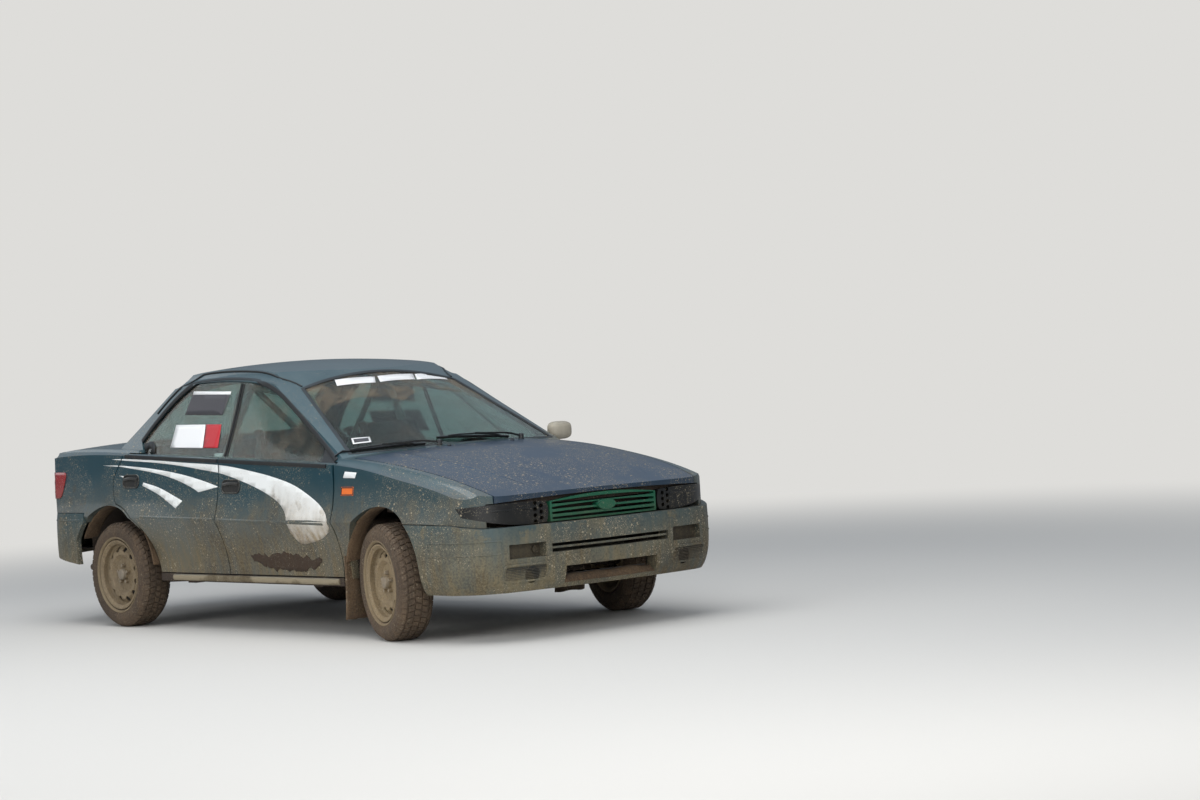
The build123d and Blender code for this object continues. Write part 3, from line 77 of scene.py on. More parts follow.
class Graph:
    """Adds shader nodes to a tree and links them."""

    def __init__(self, tree):
        self.tree = tree

    def add(self, kind, inputs=None, **settings):
        node = self.tree.nodes.new(kind)
        for key, value in settings.items():
            setattr(node, key, value)
        for key, value in (inputs or {}).items():
            self.put(node.inputs[key], value)
        return node

    def put(self, socket, value):
        if isinstance(value, bpy.types.NodeSocket):
            self.tree.links.new(value, socket)
        else:
            socket.default_value = value

    def math(self, operation, a, b=0.0, clamp=False):
        return self.add("ShaderNodeMath", {0: a, 1: b}, operation=operation, use_clamp=clamp).outputs[0]

    def mix(self, factor, a, b):
        return self.add("ShaderNodeMix", {0: factor, 6: a, 7: b}, data_type="RGBA").outputs[2]

    def blend(self, factor, a, b):
        return self.add("ShaderNodeMix", {0: factor, 2: a, 3: b}, data_type="FLOAT").outputs[0]

    def rise(self, value, low, high):
        """0 below low, 1 above high and smooth between; falls where low is above high."""
        return self.add("ShaderNodeMapRange", {0: value, 1: low, 2: high},
                        interpolation_type="SMOOTHSTEP").outputs[0]

    def stretch(self, vector, scale):
        return self.add("ShaderNodeVectorMath", {0: vector, 1: scale}, operation="MULTIPLY").outputs[0]

    def noise(self, vector, scale, detail=3.0, rough=0.55):
        inputs = {"Vector": vector, "Scale": scale, "Detail": detail, "Roughness": rough}
        return self.add("ShaderNodeTexNoise", inputs).outputs[0]

    def cells(self, vector, scale, feature="F1"):
        return self.add("ShaderNodeTexVoronoi", {"Vector": vector, "Scale": scale}, feature=feature)


def new_group(name, inputs, outputs):
    """Shader node group with named sockets; returns the tree, its graph, its inputs and its output node."""
    tree = bpy.data.node_groups.new(name, "ShaderNodeTree")
    for label, kind, value in inputs:
        socket = tree.interface.new_socket(label, in_out="INPUT", socket_type=kind)
        socket.default_value = value
    for label, kind in outputs:
        tree.interface.new_socket(label, in_out="OUTPUT", socket_type=kind)
    graph = Graph(tree)
    return tree, graph, graph.add("NodeGroupInput").outputs, graph.add("NodeGroupOutput").inputs


COLOUR, NUMBER = "NodeSocketColor", "NodeSocketFloat"


def build_grime_group():
    """Mud that rises from the ground, dust with a painted sky sheen on what faces up, and thrown specks."""
    tree, g, given, out = new_group("Road Grime", [
        ("Clean Colour", COLOUR, (0.1, 0.1, 0.1, 1)), ("Clean Roughness", NUMBER, 0.4),
        ("Mud Colour", COLOUR, (0.2, 0.15, 0.1, 1)), ("Dust Colour", COLOUR, (0.3, 0.3, 0.3, 1)),
        ("Mud Top", NUMBER, 0.8), ("Mud Bottom", NUMBER, 0.3), ("Mud Amount", NUMBER, 0.8),
        ("Dust Amount", NUMBER, 0.3), ("Specks", NUMBER, 0.4),
    ], [("Colour", COLOUR), ("Roughness", NUMBER), ("Grime", NUMBER), ("Height", NUMBER)])
    coords = g.add("ShaderNodeTexCoord")
    place = coords.outputs["Object"]
    height = g.add("ShaderNodeSeparateXYZ", {0: place}).outputs[2]
    broad = g.noise(place, 2.2, 4.0, 0.6)
    runs = g.noise(g.stretch(place, (26.0, 26.0, 2.2)), 1.0, 3.0, 0.6)
    grain = g.noise(place, 95.0, 3.0, 0.7)
    wander = g.math("MULTIPLY", g.math("SUBTRACT", broad, 0.5), 0.42)
    shifted = g.math("ADD", height, wander)
    level = g.rise(shifted, given["Mud Top"], given["Mud Bottom"])
    splash = g.math("MULTIPLY", g.rise(g.noise(place, 5.5, 6.0, 0.68), 0.50, 0.56),
                    g.rise(shifted, 0.98, 0.55))
    patchy = g.math("ADD", g.math("MULTIPLY", g.rise(runs, 0.25, 0.75), 0.40), 0.66)
    low_splash = g.math("MULTIPLY", splash, g.math("MULTIPLY", g.rise(level, 0.0, 0.35), 0.8))
    level = g.math("MAXIMUM", level, low_splash)
    mud = g.math("MULTIPLY", g.math("MULTIPLY", level, patchy), given["Mud Amount"], clamp=True)
    # Dust on what faces up, in a bluish grey: partly real dust, partly a painted reflection of the sky on
    # tops
    up = g.add("ShaderNodeSeparateXYZ", {0: coords.outputs["Normal"]}).outputs[2]
    upward_dust_sheen = g.math("MULTIPLY", g.rise(up, 0.25, 0.95), g.math("ADD", g.rise(broad, 0.2, 0.8), 0.45))
    dust = g.math("MULTIPLY", upward_dust_sheen, given["Dust Amount"], clamp=True)
    film = g.math("MULTIPLY", given["Dust Amount"], 0.10)
    dust = g.math("MAXIMUM", dust, film)
    specks = None
    for scale, size, cover in ((17.0, 0.13, 0.30), (34.0, 0.22, 0.52), (90.0, 0.30, 0.5), (210.0, 0.34, 0.5)):
        cell = g.cells(place, scale)
        chosen = g.rise(g.add("ShaderNodeSeparateColor", {0: cell.outputs["Color"]}).outputs[0], cover,
                        cover - 0.02)
        dot = g.math("MULTIPLY", g.rise(cell.outputs["Distance"], size, size * 0.5), chosen)
        specks = dot if specks is None else g.math("MAXIMUM", specks, dot)
    thrown = g.rise(g.noise(place, 3.1, 3.0, 0.65), 0.60, 0.46)
    fade = g.rise(shifted, 1.6, 0.85)
    specks = g.math("MULTIPLY", g.math("MULTIPLY", specks, thrown), g.math("MULTIPLY", fade, given["Specks"]),
                    clamp=True)
    tone = g.math("ADD", g.math("MULTIPLY", grain, 0.5), g.math("MULTIPLY", broad, 0.5))
    dark_mud = g.mix(0.70, given["Mud Colour"], (0.030, 0.018, 0.010, 1))
    mud_colour = g.mix(g.rise(tone, 0.36, 0.60), dark_mud, given["Mud Colour"])
    # Dust and painted sky sheen laid over the clean colour
    colour = g.mix(dust, given["Clean Colour"], given["Dust Colour"])
    colour = g.mix(mud, colour, mud_colour)
    speck_colour = g.mix(0.80, mud_colour, linear("A89C84"))
    colour = g.mix(g.math("MULTIPLY", specks, 0.85), colour, speck_colour)
    grime = g.math("MAXIMUM", g.math("MAXIMUM", mud, specks), g.math("MULTIPLY", dust, 0.8), clamp=True)
    g.put(out["Colour"], colour)
    g.put(out["Roughness"], g.blend(grime, given["Clean Roughness"], 0.86))
    g.put(out["Grime"], grime)
    crust = g.math("MULTIPLY", g.math("MULTIPLY", mud, grain), 0.6)
    g.put(out["Height"], g.math("ADD", crust, specks))
    return tree


def build_cloth_group():
    """Plain weave with slight colour change from thread to thread."""
    tree, g, given, out = new_group("Seat Cloth", [
        ("Thread Colour", COLOUR, (0.03, 0.04, 0.08, 1)), ("Second Colour", COLOUR, (0.01, 0.012, 0.02, 1)),
        ("Threads", NUMBER, 420.0), ("Dirt", NUMBER, 0.3),
    ], [("Colour", COLOUR), ("Height", NUMBER)])
    place = g.add("ShaderNodeTexCoord").outputs["Object"]
    waves = []
    for direction in ("X", "Y", "Z"):
        wave = g.add("ShaderNodeTexWave", {"Vector": place, "Scale": given["Threads"], "Distortion": 0.6},
                     bands_direction=direction)
        waves.append(wave.outputs[1])
    weave = g.math("MAXIMUM", g.math("MULTIPLY", waves[0], waves[1]), g.math("MULTIPLY", waves[1], waves[2]))
    dirt = g.math("MULTIPLY", g.rise(g.noise(place, 5.0, 4.0), 0.42, 0.7), given["Dirt"])
    colour = g.mix(weave, given["Second Colour"], given["Thread Colour"])
    g.put(out["Colour"], g.mix(dirt, colour, (0.16, 0.12, 0.085, 1)))
    g.put(out["Height"], weave)
    return tree


def build_moulding_group():
    """Fine moulded or cast texture."""
    tree, g, given, out = new_group("Moulded Grain", [("Cells", NUMBER, 600.0), ("Depth", NUMBER, 0.5)],
                                    [("Height", NUMBER)])
    place = g.add("ShaderNodeTexCoord").outputs["Object"]
    pits = g.cells(place, given["Cells"]).outputs["Distance"]
    soft = g.noise(place, 40.0, 2.0)
    g.put(out["Height"], g.math("MULTIPLY", g.math("ADD", pits, g.math("MULTIPLY", soft, 0.4)),
                                given["Depth"]))
    return tree


GROUPS = {}
MATERIALS = {}


def shader(name, **sockets):
    """Material with one Principled shader: the material, its graph and the shader."""
    material = bpy.data.materials.new(name)
    material.use_nodes = True
    g = Graph(material.node_tree)
    principled = material.node_tree.nodes["Principled BSDF"]
    for label, value in sockets.items():
        principled.inputs[label.replace("_", " ")].default_value = value
    MATERIALS[name] = material
    return material, g, principled


def grimy(name, colour, rough, mud=(0.8, 0.3, 0.8), dust=0.3, specks=0.4, mud_colour=None, dust_sheen_colour=None,
          bump=0.25, grain=None, **sockets):
    """Painted, moulded or cast surface under road grime. mud is its top, its bottom and its amount; dust is
    the amount of dust, with a painted sky sheen, on what faces up.
    """
    grime = bpy.context.scene.rally_grime
    _, g, principled = shader(name, **sockets)
    group = g.add("ShaderNodeGroup", node_tree=GROUPS["grime"])
    values = {
        "Clean Colour": colour, "Clean Roughness": rough, "Mud Top": mud[0], "Mud Bottom": mud[1],
        "Mud Amount": mud[2], "Mud Colour": mud_colour or (*grime.mud_colour, 1),
        "Dust Colour": dust_sheen_colour or (*grime.dust_sheen_colour, 1), "Dust Amount": dust, "Specks": specks,
    }
    for label, value in values.items():
        g.put(group.inputs[label], value)
    g.put(principled.inputs["Base Color"], group.outputs["Colour"])
    g.put(principled.inputs["Roughness"], group.outputs["Roughness"])
    if sockets.get("Metallic"):
        clean = g.math("SUBTRACT", 1.0, group.outputs["Grime"])
        g.put(principled.inputs["Metallic"], g.math("MULTIPLY", clean, sockets["Metallic"]))
    if sockets.get("Coat_Weight"):
        clean = g.math("SUBTRACT", 1.0, group.outputs["Grime"])
        g.put(principled.inputs["Coat Weight"], g.math("MULTIPLY", clean, sockets["Coat_Weight"]))
    height = group.outputs["Height"]
    if grain:
        moulded = g.add("ShaderNodeGroup", {}, node_tree=GROUPS["moulding"])
        moulded.inputs["Cells"].default_value, moulded.inputs["Depth"].default_value = grain
        height = g.math("ADD", height, moulded.outputs["Height"])
    relief = g.add("ShaderNodeBump", {"Strength": bump, "Distance": 0.0015, "Height": height})
    g.put(principled.inputs["Normal"], relief.outputs[0])


def glass(name, tint, rough):
    """Thin tinted glass that lets the lamps light the cabin."""
    material, g, principled = shader(name, Base_Color=tint, Transmission_Weight=1.0, IOR=1.45)
    place = g.add("ShaderNodeTexCoord").outputs["Object"]
    haze = g.rise(g.noise(place, 3.5, 4.0, 0.65), 0.42, 0.75)
    g.put(principled.inputs["Roughness"], g.blend(haze, rough, rough + 0.08))
    path = g.add("ShaderNodeLightPath")
    clear = g.add("ShaderNodeBsdfTransparent", {0: tint})
    mixed = g.add("ShaderNodeMixShader",
                  {0: path.outputs["Is Shadow Ray"], 1: principled.outputs[0], 2: clear.outputs[0]})
    g.put(material.node_tree.nodes["Material Output"].inputs[0], mixed.outputs[0])


def splatter(name, colour, cover, wiped=()):
    """See-through film of dried spots and haze; wiped holds the clean arcs' middles and radii."""
    _, g, principled = shader(name, Base_Color=colour, Roughness=0.9)
    place = g.add("ShaderNodeTexCoord").outputs["Object"]
    dots = None
    for scale, size, share in ((60.0, 0.26, 0.34), (150.0, 0.30, 0.5)):
        cell = g.cells(g.stretch(place, (1.0, 1.0, 0.7)), scale)
        chosen = g.rise(g.add("ShaderNodeSeparateColor", {0: cell.outputs["Color"]}).outputs[0], share,
                        share - 0.02)
        dot = g.math("MULTIPLY", g.rise(cell.outputs["Distance"], size, size * 0.6), chosen)
        dots = dot if dots is None else g.math("MAXIMUM", dots, dot)
    where = g.rise(g.noise(place, 2.4, 4.0, 0.7), 0.62 - cover * 0.3, 0.40 - cover * 0.3)
    film = g.math("MULTIPLY", g.rise(g.noise(place, 6.0, 5.0, 0.7), 0.35, 0.8), 0.35 * cover)
    alpha = g.math("ADD", g.math("MULTIPLY", g.math("MULTIPLY", dots, where), 0.75), film, clamp=True)
    for centre, radius in wiped:
        gap = g.add("ShaderNodeVectorMath", {0: place, 1: centre}, operation="DISTANCE").outputs["Value"]
        alpha = g.math("MULTIPLY", alpha, g.math("ADD", g.rise(gap, radius, radius + 0.02), 0.16), clamp=True)
    g.put(principled.inputs["Alpha"], alpha)


# Meshes
def from_bmesh(name, bm, material, body, smooth):
    """Turns a bmesh into a piece that rides on a body; edges above the angle smooth stay sharp."""
    bmesh.ops.recalc_face_normals(bm, faces=bm.faces)
    mesh = bpy.data.meshes.new(name)
    bm.to_mesh(mesh)
    bm.free()
    made = bpy.data.objects.new(name, mesh)
    bpy.context.scene.collection.objects.link(made)
    mesh.materials.append(MATERIALS[material])
    for polygon in mesh.polygons:
        polygon.use_smooth = True
    mesh.set_sharp_from_angle(angle=math.radians(smooth))
    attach(made, body)
    return made


def thicken(made, thickness, offset):
    """Gives a sheet its thickness: offset 1 outwards, -1 inwards, 0 both ways."""
    solid = made.modifiers.new("Thickness", "SOLIDIFY")
    solid.thickness, solid.offset = thickness, offset
    return solid


def surface_of(*names):
    """Ray-cast tree over CAD nodes."""
    points, faces = [], []
    for name in names:
        mesh, base = NODES[name].data, len(points)
        points += [v.co.copy() for v in mesh.vertices]
        faces += [[base + i for i in polygon.vertices] for polygon in mesh.polygons]
    return BVHTree.FromPolygons(points, faces)


class Sheet:
    """Flat drawing plane outside the car: origin, two axes and the way it is thrown onto a surface."""

    def __init__(self, origin, across, up, towards):
        self.origin, self.across, self.up = Vector(origin), Vector(across), Vector(up)
        self.towards = Vector(towards).normalized()

    def at(self, u, v):
        return self.origin + self.across * u + self.up * v


def side_sheet(side):
    """Sheet thrown at one side of the car, in (x, z)."""
    return Sheet((0, side * 2, 0), (1, 0, 0), (0, 0, 1), (0, -side, 0))


def top_sheet():
    """Sheet thrown down at the car, in (x, y)."""
    return Sheet((0, 0, 3), (1, 0, 0), (0, 1, 0), (0, 0, -1))


def front_sheet():
    """Sheet thrown at the nose, in (y, z)."""
    return Sheet((3, 0, 0), (0, 1, 0), (0, 0, 1), (-1, 0, 0))


def rear_sheet():
    """Sheet thrown at the tail, in (y, z)."""
    return Sheet((-3, 0, 0), (0, 1, 0), (0, 0, 1), (1, 0, 0))


def corner_sheet(side):
    """Sheet thrown at the front bumper's corner."""
    half = math.sqrt(0.5)
    return Sheet((3.06, side * 1.86, 0), (-half, side * half, 0), (0, 0, 1), (-half, -side * half, 0))


def rear_corner_sheet(side):
    """Sheet thrown at the quarter panel's rear corner."""
    half = math.sqrt(0.5)
    return Sheet((-3.2, side * 1.9, 0), (-half, -side * half, 0), (0, 0, 1), (half, -side * half, 0))


FARTHEST = 3.0          # metres past which a drawn point is held to have missed the car


def lay_sheet(name, outline, sheet, tree, material, body, lift, thick, step):
    """Thin vinyl, film or tape cut to an outline and laid on a surface."""
    bm = bmesh.new()
    bm.faces.new([bm.verts.new(sheet.at(u, v)) for u, v in outline])
    bmesh.ops.triangulate(bm, faces=bm.faces)
    for axis, values in ((sheet.across, [u for u, _ in outline]), (sheet.up, [v for _, v in outline])):
        cut = math.ceil(min(values) / step) * step
        while cut < max(values):
            geometry = bm.verts[:] + bm.edges[:] + bm.faces[:]
            bmesh.ops.bisect_plane(bm, geom=geometry, plane_co=sheet.origin + axis * cut, plane_no=axis,
                                   dist=1e-6)
            cut += step
    missed = []
    for vert in bm.verts:
        place, normal, _, gap = tree.ray_cast(vert.co, sheet.towards)
        if place is None or gap > FARTHEST:
            missed.append(vert)
        else:
            if normal.dot(sheet.towards) > 0:
                normal = -normal
            vert.co = place + normal * lift
    bmesh.ops.delete(bm, geom=missed, context="VERTS")
    thicken(from_bmesh(name, bm, material, body, 60.0), thick, 1.0)


def spline(points, count, closed=False):
    """Even points on a smooth line through the given ones (Catmull-Rom)."""
    points = [Vector(p) for p in points]
    n = len(points)
    spans = n if closed else n - 1

    def at(i):
        return points[i % n] if closed else points[max(0, min(n - 1, i))]

    line = []
    for span in range(spans):
        a, b, c, d = at(span - 1), at(span), at(span + 1), at(span + 2)
        for k in range(12):
            t = k / 12
            line.append(0.5 * ((2 * b) + (c - a) * t + (2 * a - 5 * b + 4 * c - d) * t * t
                               + (3 * b - a - 3 * c + d) * t ** 3))
    line.append(points[0].copy() if closed else points[-1].copy())
    reach = [0.0]
    for a, b in zip(line, line[1:]):
        reach.append(reach[-1] + (b - a).length)
    even, index = [], 0
    for k in range(count):
        want = reach[-1] * k / (count if closed else count - 1)
        while index < len(line) - 2 and reach[index + 1] < want:
            index += 1
        span = reach[index + 1] - reach[index]
        even.append(line[index].lerp(line[index + 1], (want - reach[index]) / span if span > 1e-9 else 0.0))
    return even


def line_of(points, count):
    """Even (x, z) points on a smooth line through the given ones."""
    return [tuple(p.xy) for p in spline([(x, z, 0) for x, z in points], count)]


def skin(bm, rings, around=True, along=False):
    """Faces between neighbouring rings; around closes each ring, along joins the last ring to the first."""
    for one, two in zip(rings, rings[1:] + (rings[:1] if along else [])):
        for k in range(len(one) if around else len(one) - 1):
            after = (k + 1) % len(one)
            bm.faces.new((one[k], one[after], two[after], two[k]))


def cap(bm, rings):
    """Closes both ends of a skin."""
    bm.faces.new(rings[0])
    bm.faces.new(list(reversed(rings[-1])))


def sweep(bm, points, outward, profile, closed=False):
    """Sweeps a closed profile of (along outward, sideways) points along a path."""
    n, rings = len(points), []
    for i, point in enumerate(points):
        before = points[i - 1] if i or closed else point
        after = points[(i + 1) % n] if i < n - 1 or closed else point
        tangent = (after - before).normalized()
        out = outward[i] if isinstance(outward, list) else Vector(outward)
        out = (out - tangent * out.dot(tangent)).normalized()
        aside = tangent.cross(out)
        rings.append([bm.verts.new(point + out * a + aside * b) for a, b in profile])
    skin(bm, rings, along=closed)
    if not closed:
        cap(bm, rings)


def four_sided(top, half, foot, foot_half):
    """Section with a height and half-width at its top and another pair at its foot."""
    return [(top, half), (top, -half), (foot, -foot_half), (foot, foot_half)]


def round_profile(width, height, count=10, base=0.0):
    """Half-round moulding section standing on its surface."""
    arc = [(base + height * math.sin(math.pi * k / count), width / 2 * math.cos(math.pi * k / count))
           for k in range(count + 1)]
    return arc + [(base - 0.002, -width / 2), (base - 0.002, width / 2)]


def follow(tree, sheet, points):
    """Points and normals where a drawn line meets a surface."""
    places, normals = [], []
    for u, v in points:
        place, normal, _, _ = tree.ray_cast(sheet.at(u, v), sheet.towards)
        if place is None:
            continue
        if normal.dot(sheet.towards) > 0:
            normal = -normal
        places.append(place)
        normals.append(normal)
    return places, normals


def outer_loop(name, facing, limit=0.35):
    """Edge of a CAD node's outer face, in order, with the face's normals."""
    bm = bmesh.new()
    bm.from_mesh(NODES[name].data)
    bmesh.ops.remove_doubles(bm, verts=bm.verts, dist=1e-5)
    facing = Vector(facing).normalized()
    bm.normal_update()
    outer = {f for f in bm.faces if f.normal.dot(facing) > limit}
    chains, normals = {}, {}
    for edge in bm.edges:
        faces = edge.link_faces
        if len(faces) == 2 and (faces[0] in outer) != (faces[1] in outer):
            face = faces[0] if faces[0] in outer else faces[1]
            a, b = edge.verts
            chains.setdefault(a, []).append(b)
            chains.setdefault(b, []).append(a)
            for v in (a, b):
                normals.setdefault(v, Vector()).xyz += face.normal
    loops, left = [], dict.fromkeys(chains)     # a dict, as a set's order differs from run to run
    while left:
        start, _ = left.popitem()
        loop, here, last = [start], start, None
        while True:
            ahead = [v for v in chains[here] if v is not last
                     and (v in left or (v is start and len(loop) > 2))]
            if not ahead or ahead[0] is start:
                break
            last, here = here, ahead[0]
            left.pop(here, None)
            loop.append(here)
        loops.append([(v.co.copy(), normals[v].normalized()) for v in loop])
    bm.free()
    return max(loops, key=lambda loop: sum((a[0] - b[0]).length for a, b in zip(loop, loop[1:])))


def spin_frame(joint):
    """Matrix of a wheel at rest: its own Y is the spin axis."""
    facts = JOINTS[joint]
    y = Vector(facts["axis"]).normalized()
    z = Vector((0, 0, 1))
    z = (z - y * z.dot(y)).normalized()
    x = y.cross(z)
    rows = Matrix((x, y, z)).transposed().to_4x4()
    return Matrix.Translation(Vector(facts["pos_m"])) @ rows


# Settings
class RallyGrime(bpy.types.PropertyGroup):
    mud_colour: bpy.props.FloatVectorProperty(
        name="Mud", description="Dried mud", subtype="COLOR", size=3, min=0, max=1,
        default=linear("6C6047")[:3])
    wet_colour: bpy.props.FloatVectorProperty(
        name="Wet Mud", description="Fresh dark mud", subtype="COLOR", size=3, min=0, max=1,
        default=linear("3A2818")[:3])
    # Bluish grey of the dust on what faces up, which also paints the sky's reflection on tops
    dust_sheen_colour: bpy.props.FloatVectorProperty(
        name="Dust", description="Dust on what faces up", subtype="COLOR", size=3, min=0, max=1,
        default=linear("566872")[:3])
    top: bpy.props.FloatProperty(name="Mud Top", description="Height where mud starts to show", default=0.92,
                                 unit="LENGTH", min=0.3, max=1.4)
    bottom: bpy.props.FloatProperty(name="Mud Bottom", description="Height below which mud covers",
                                    default=0.38, unit="LENGTH", min=0.1, max=1.0)


class RallyPaint(bpy.types.PropertyGroup):
    body: bpy.props.FloatVectorProperty(
        name="Body", description="Body paint", subtype="COLOR", size=3, min=0, max=1,
        default=linear("0F3D48")[:3])
    hood: bpy.props.FloatVectorProperty(
        name="Hood", description="Faded hood paint", subtype="COLOR", size=3, min=0, max=1,
        default=linear("1B3246")[:3])
    grille: bpy.props.FloatVectorProperty(
        name="Grille", description="Grille paint", subtype="COLOR", size=3, min=0, max=1,
        default=linear("0A5238")[:3])
    vinyl: bpy.props.FloatVectorProperty(
        name="Stripes", description="Side stripes", subtype="COLOR", size=3, min=0, max=1,
        default=linear("E4E6E4")[:3])


class RallyTyres(bpy.types.PropertyGroup):
    pitches: bpy.props.IntProperty(name="Pitches", description="Tread blocks round the tyre", default=52,
                                   min=20, max=90)
    depth: bpy.props.FloatProperty(name="Tread Depth", description="Height of the tread blocks",
                                   default=0.008, unit="LENGTH", min=0.002, max=0.015)
    groove: bpy.props.FloatProperty(name="Groove", description="Gap between blocks", default=0.007,
                                    unit="LENGTH", min=0.002, max=0.02)


class RallyStage(bpy.types.PropertyGroup):
    key: bpy.props.FloatProperty(name="Key Light", description="Power of the large lamp overhead",
                                 default=300.0, unit="POWER", min=0)
    fill: bpy.props.FloatProperty(name="Fill Light", description="Power of the side lamps", default=260.0,
                                  unit="POWER", min=0)


# Stage
CAMERA_PLACE = (12.964, -9.412, 1.361)
CAMERA_TURN = (139.127, -0.877, 3.589)      # yaw, pitch and roll in degrees
CAMERA_LENS = 86.93
FLOOR, BACKDROP = linear("CFCDC8"), linear("DEDDDA")
HORIZON, ZENITH = (0.34, 0.40, 0.46, 1), (1.0, 1.1, 1.25, 1)
SKY_STRENGTH = 0.38
FLOOR_FADE = (4.0, 11.0)        # metres from the car where the lit floor gives way to the backdrop


def camera_matrix():
    """The camera's place and turn, fitted to the photo."""
    yaw, pitch, roll = (math.radians(a) for a in CAMERA_TURN)
    ahead = Vector((math.cos(pitch) * math.cos(yaw), math.cos(pitch) * math.sin(yaw), math.sin(pitch)))
    right = ahead.cross(Vector((0, 0, 1))).normalized()
    down = ahead.cross(right)
    turned = right * math.cos(roll) + down * math.sin(roll)
    sunk = down * math.cos(roll) - right * math.sin(roll)
    return Matrix.Translation(CAMERA_PLACE) @ Matrix((turned, -sunk, -ahead)).transposed().to_4x4()


def area_lamp(name, place, target, size, power):
    """Rectangular lamp that looks at its target."""
    lamp = bpy.data.lights.new(name, "AREA")
    lamp.shape, lamp.size, lamp.size_y, lamp.energy = "RECTANGLE", size[0], size[1], power
    made = bpy.data.objects.new(name, lamp)
    made.location = place
    made.rotation_euler = (Vector(target) - Vector(place)).to_track_quat("-Z", "Y").to_euler()
    bpy.context.scene.collection.objects.link(made)


class RALLY_OT_stage(bpy.types.Operator):
    """Pale floor, soft lamps and the camera at the photo's angle"""
    bl_idname = "rally.stage"
    bl_label = "Stage"

    def execute(self, context):
        stage = context.scene.rally_stage
        context.scene.view_settings.view_transform = "Standard"
        bpy.ops.mesh.primitive_plane_add(size=400)
        floor = context.active_object
        floor.name = "floor"
        material, g, principled = shader("floor_paint", Base_Color=FLOOR, Roughness=0.85)
        pale = g.add("ShaderNodeEmission", {0: BACKDROP, 1: 1.0})
        path = g.add("ShaderNodeLightPath")
        seen = g.math("MAXIMUM", path.outputs["Is Camera Ray"], path.outputs["Is Transmission Ray"])
        place = g.add("ShaderNodeTexCoord").outputs["Object"]
        away = g.add("ShaderNodeVectorMath", {0: place}, operation="LENGTH").outputs["Value"]
        far = g.math("MULTIPLY", g.rise(away, *FLOOR_FADE), seen)
        mixed = g.add("ShaderNodeMixShader", {0: far, 1: principled.outputs[0], 2: pale.outputs[0]})
        g.put(material.node_tree.nodes["Material Output"].inputs[0], mixed.outputs[0])
        floor.data.materials.append(material)
        world = bpy.data.worlds.new("studio")
        context.scene.world = world
        world.use_nodes = True
        g = Graph(world.node_tree)
        light = world.node_tree.nodes["Background"]
        way = g.add("ShaderNodeSeparateXYZ", {0: g.add("ShaderNodeTexCoord").outputs["Generated"]}).outputs[2]
        g.put(light.inputs[0], g.mix(g.rise(way, -0.05, 0.75), HORIZON, ZENITH))
        light.inputs[1].default_value = SKY_STRENGTH
        backdrop = g.add("ShaderNodeBackground", {0: BACKDROP, 1: 1.0})
        path = g.add("ShaderNodeLightPath")
        seen = g.math("MAXIMUM", path.outputs["Is Camera Ray"], path.outputs["Is Transmission Ray"])
        mixed = g.add("ShaderNodeMixShader", {0: seen, 1: light.outputs[0], 2: backdrop.outputs[0]})
        g.put(world.node_tree.nodes["World Output"].inputs[0], mixed.outputs[0])
        area_lamp("overhead", (1.0, -1.5, 6.5), (0, 0, 0.5), (7, 6), stage.key)
        area_lamp("front_fill", (8.0, -3.5, 3.0), (0.5, 0, 0.6), (5, 3.5), stage.fill)
        area_lamp("side_fill", (1.0, -8.5, 3.4), (0, 0, 0.6), (7, 3.5), stage.fill)
        area_lamp("rear_fill", (-8.0, -2.5, 4.2), (0, 0, 0.6), (5, 4), stage.fill * 0.2)
        camera = bpy.data.cameras.new("camera")
        camera.lens, camera.sensor_width, camera.clip_end = CAMERA_LENS, 36.0, 500.0
        made = bpy.data.objects.new("camera", camera)
        made.matrix_world = camera_matrix()
        context.scene.collection.objects.link(made)
        context.scene.camera = made
        return {"FINISHED"}


# Paint and other finishes
NODE_FINISH = {
    "cabin_frame": "body_paint", "boot_lid": "body_paint", "front_wing_": "body_paint",
    "front_door_": "body_paint", "rear_door_": "body_paint", "hood": "hood_paint",
    "floor_pan": "floor_paint_dirty", "boot_pan": "floor_paint_dirty", "engine_bay": "floor_paint_dirty",
    "front_bumper": "bumper_paint", "rear_bumper": "bumper_paint", "grille": "grille_paint",
    "headlamp_covers": "blanking_plate", "tail_lamps": "red_lens", "side_indicators": "orange_lens",
    "windscreen": "screen_glass", "rear_window": "screen_glass", "front_door_glass_": "door_glass",
    "rear_door_glass_": "door_glass", "front_door_trim_": "black_trim", "rear_door_trim_": "black_trim",
    "roll_cage": "cage_paint", "front_seats": "seat_cloth", "dashboard": "dash_plastic",
    "steering_wheel": "wheel_leather", "engine": "cast_block", "front_crossmember": "chassis_black",
    "rear_suspension": "chassis_black", "front_knuckle_": "chassis_black", "exhaust": "pipe_steel",
    "fuel_tank": "chassis_black", "mud_flaps": "flap_rubber", "sump_guard": "guard_alloy",
    "wipers": "wiper_black", "mirror_left": "mirror_shell", "front_rim_": "wheel_paint",
    "rear_rim_": "wheel_paint", "front_tyre_": "tyre_rubber", "rear_tyre_": "tyre_rubber",
}


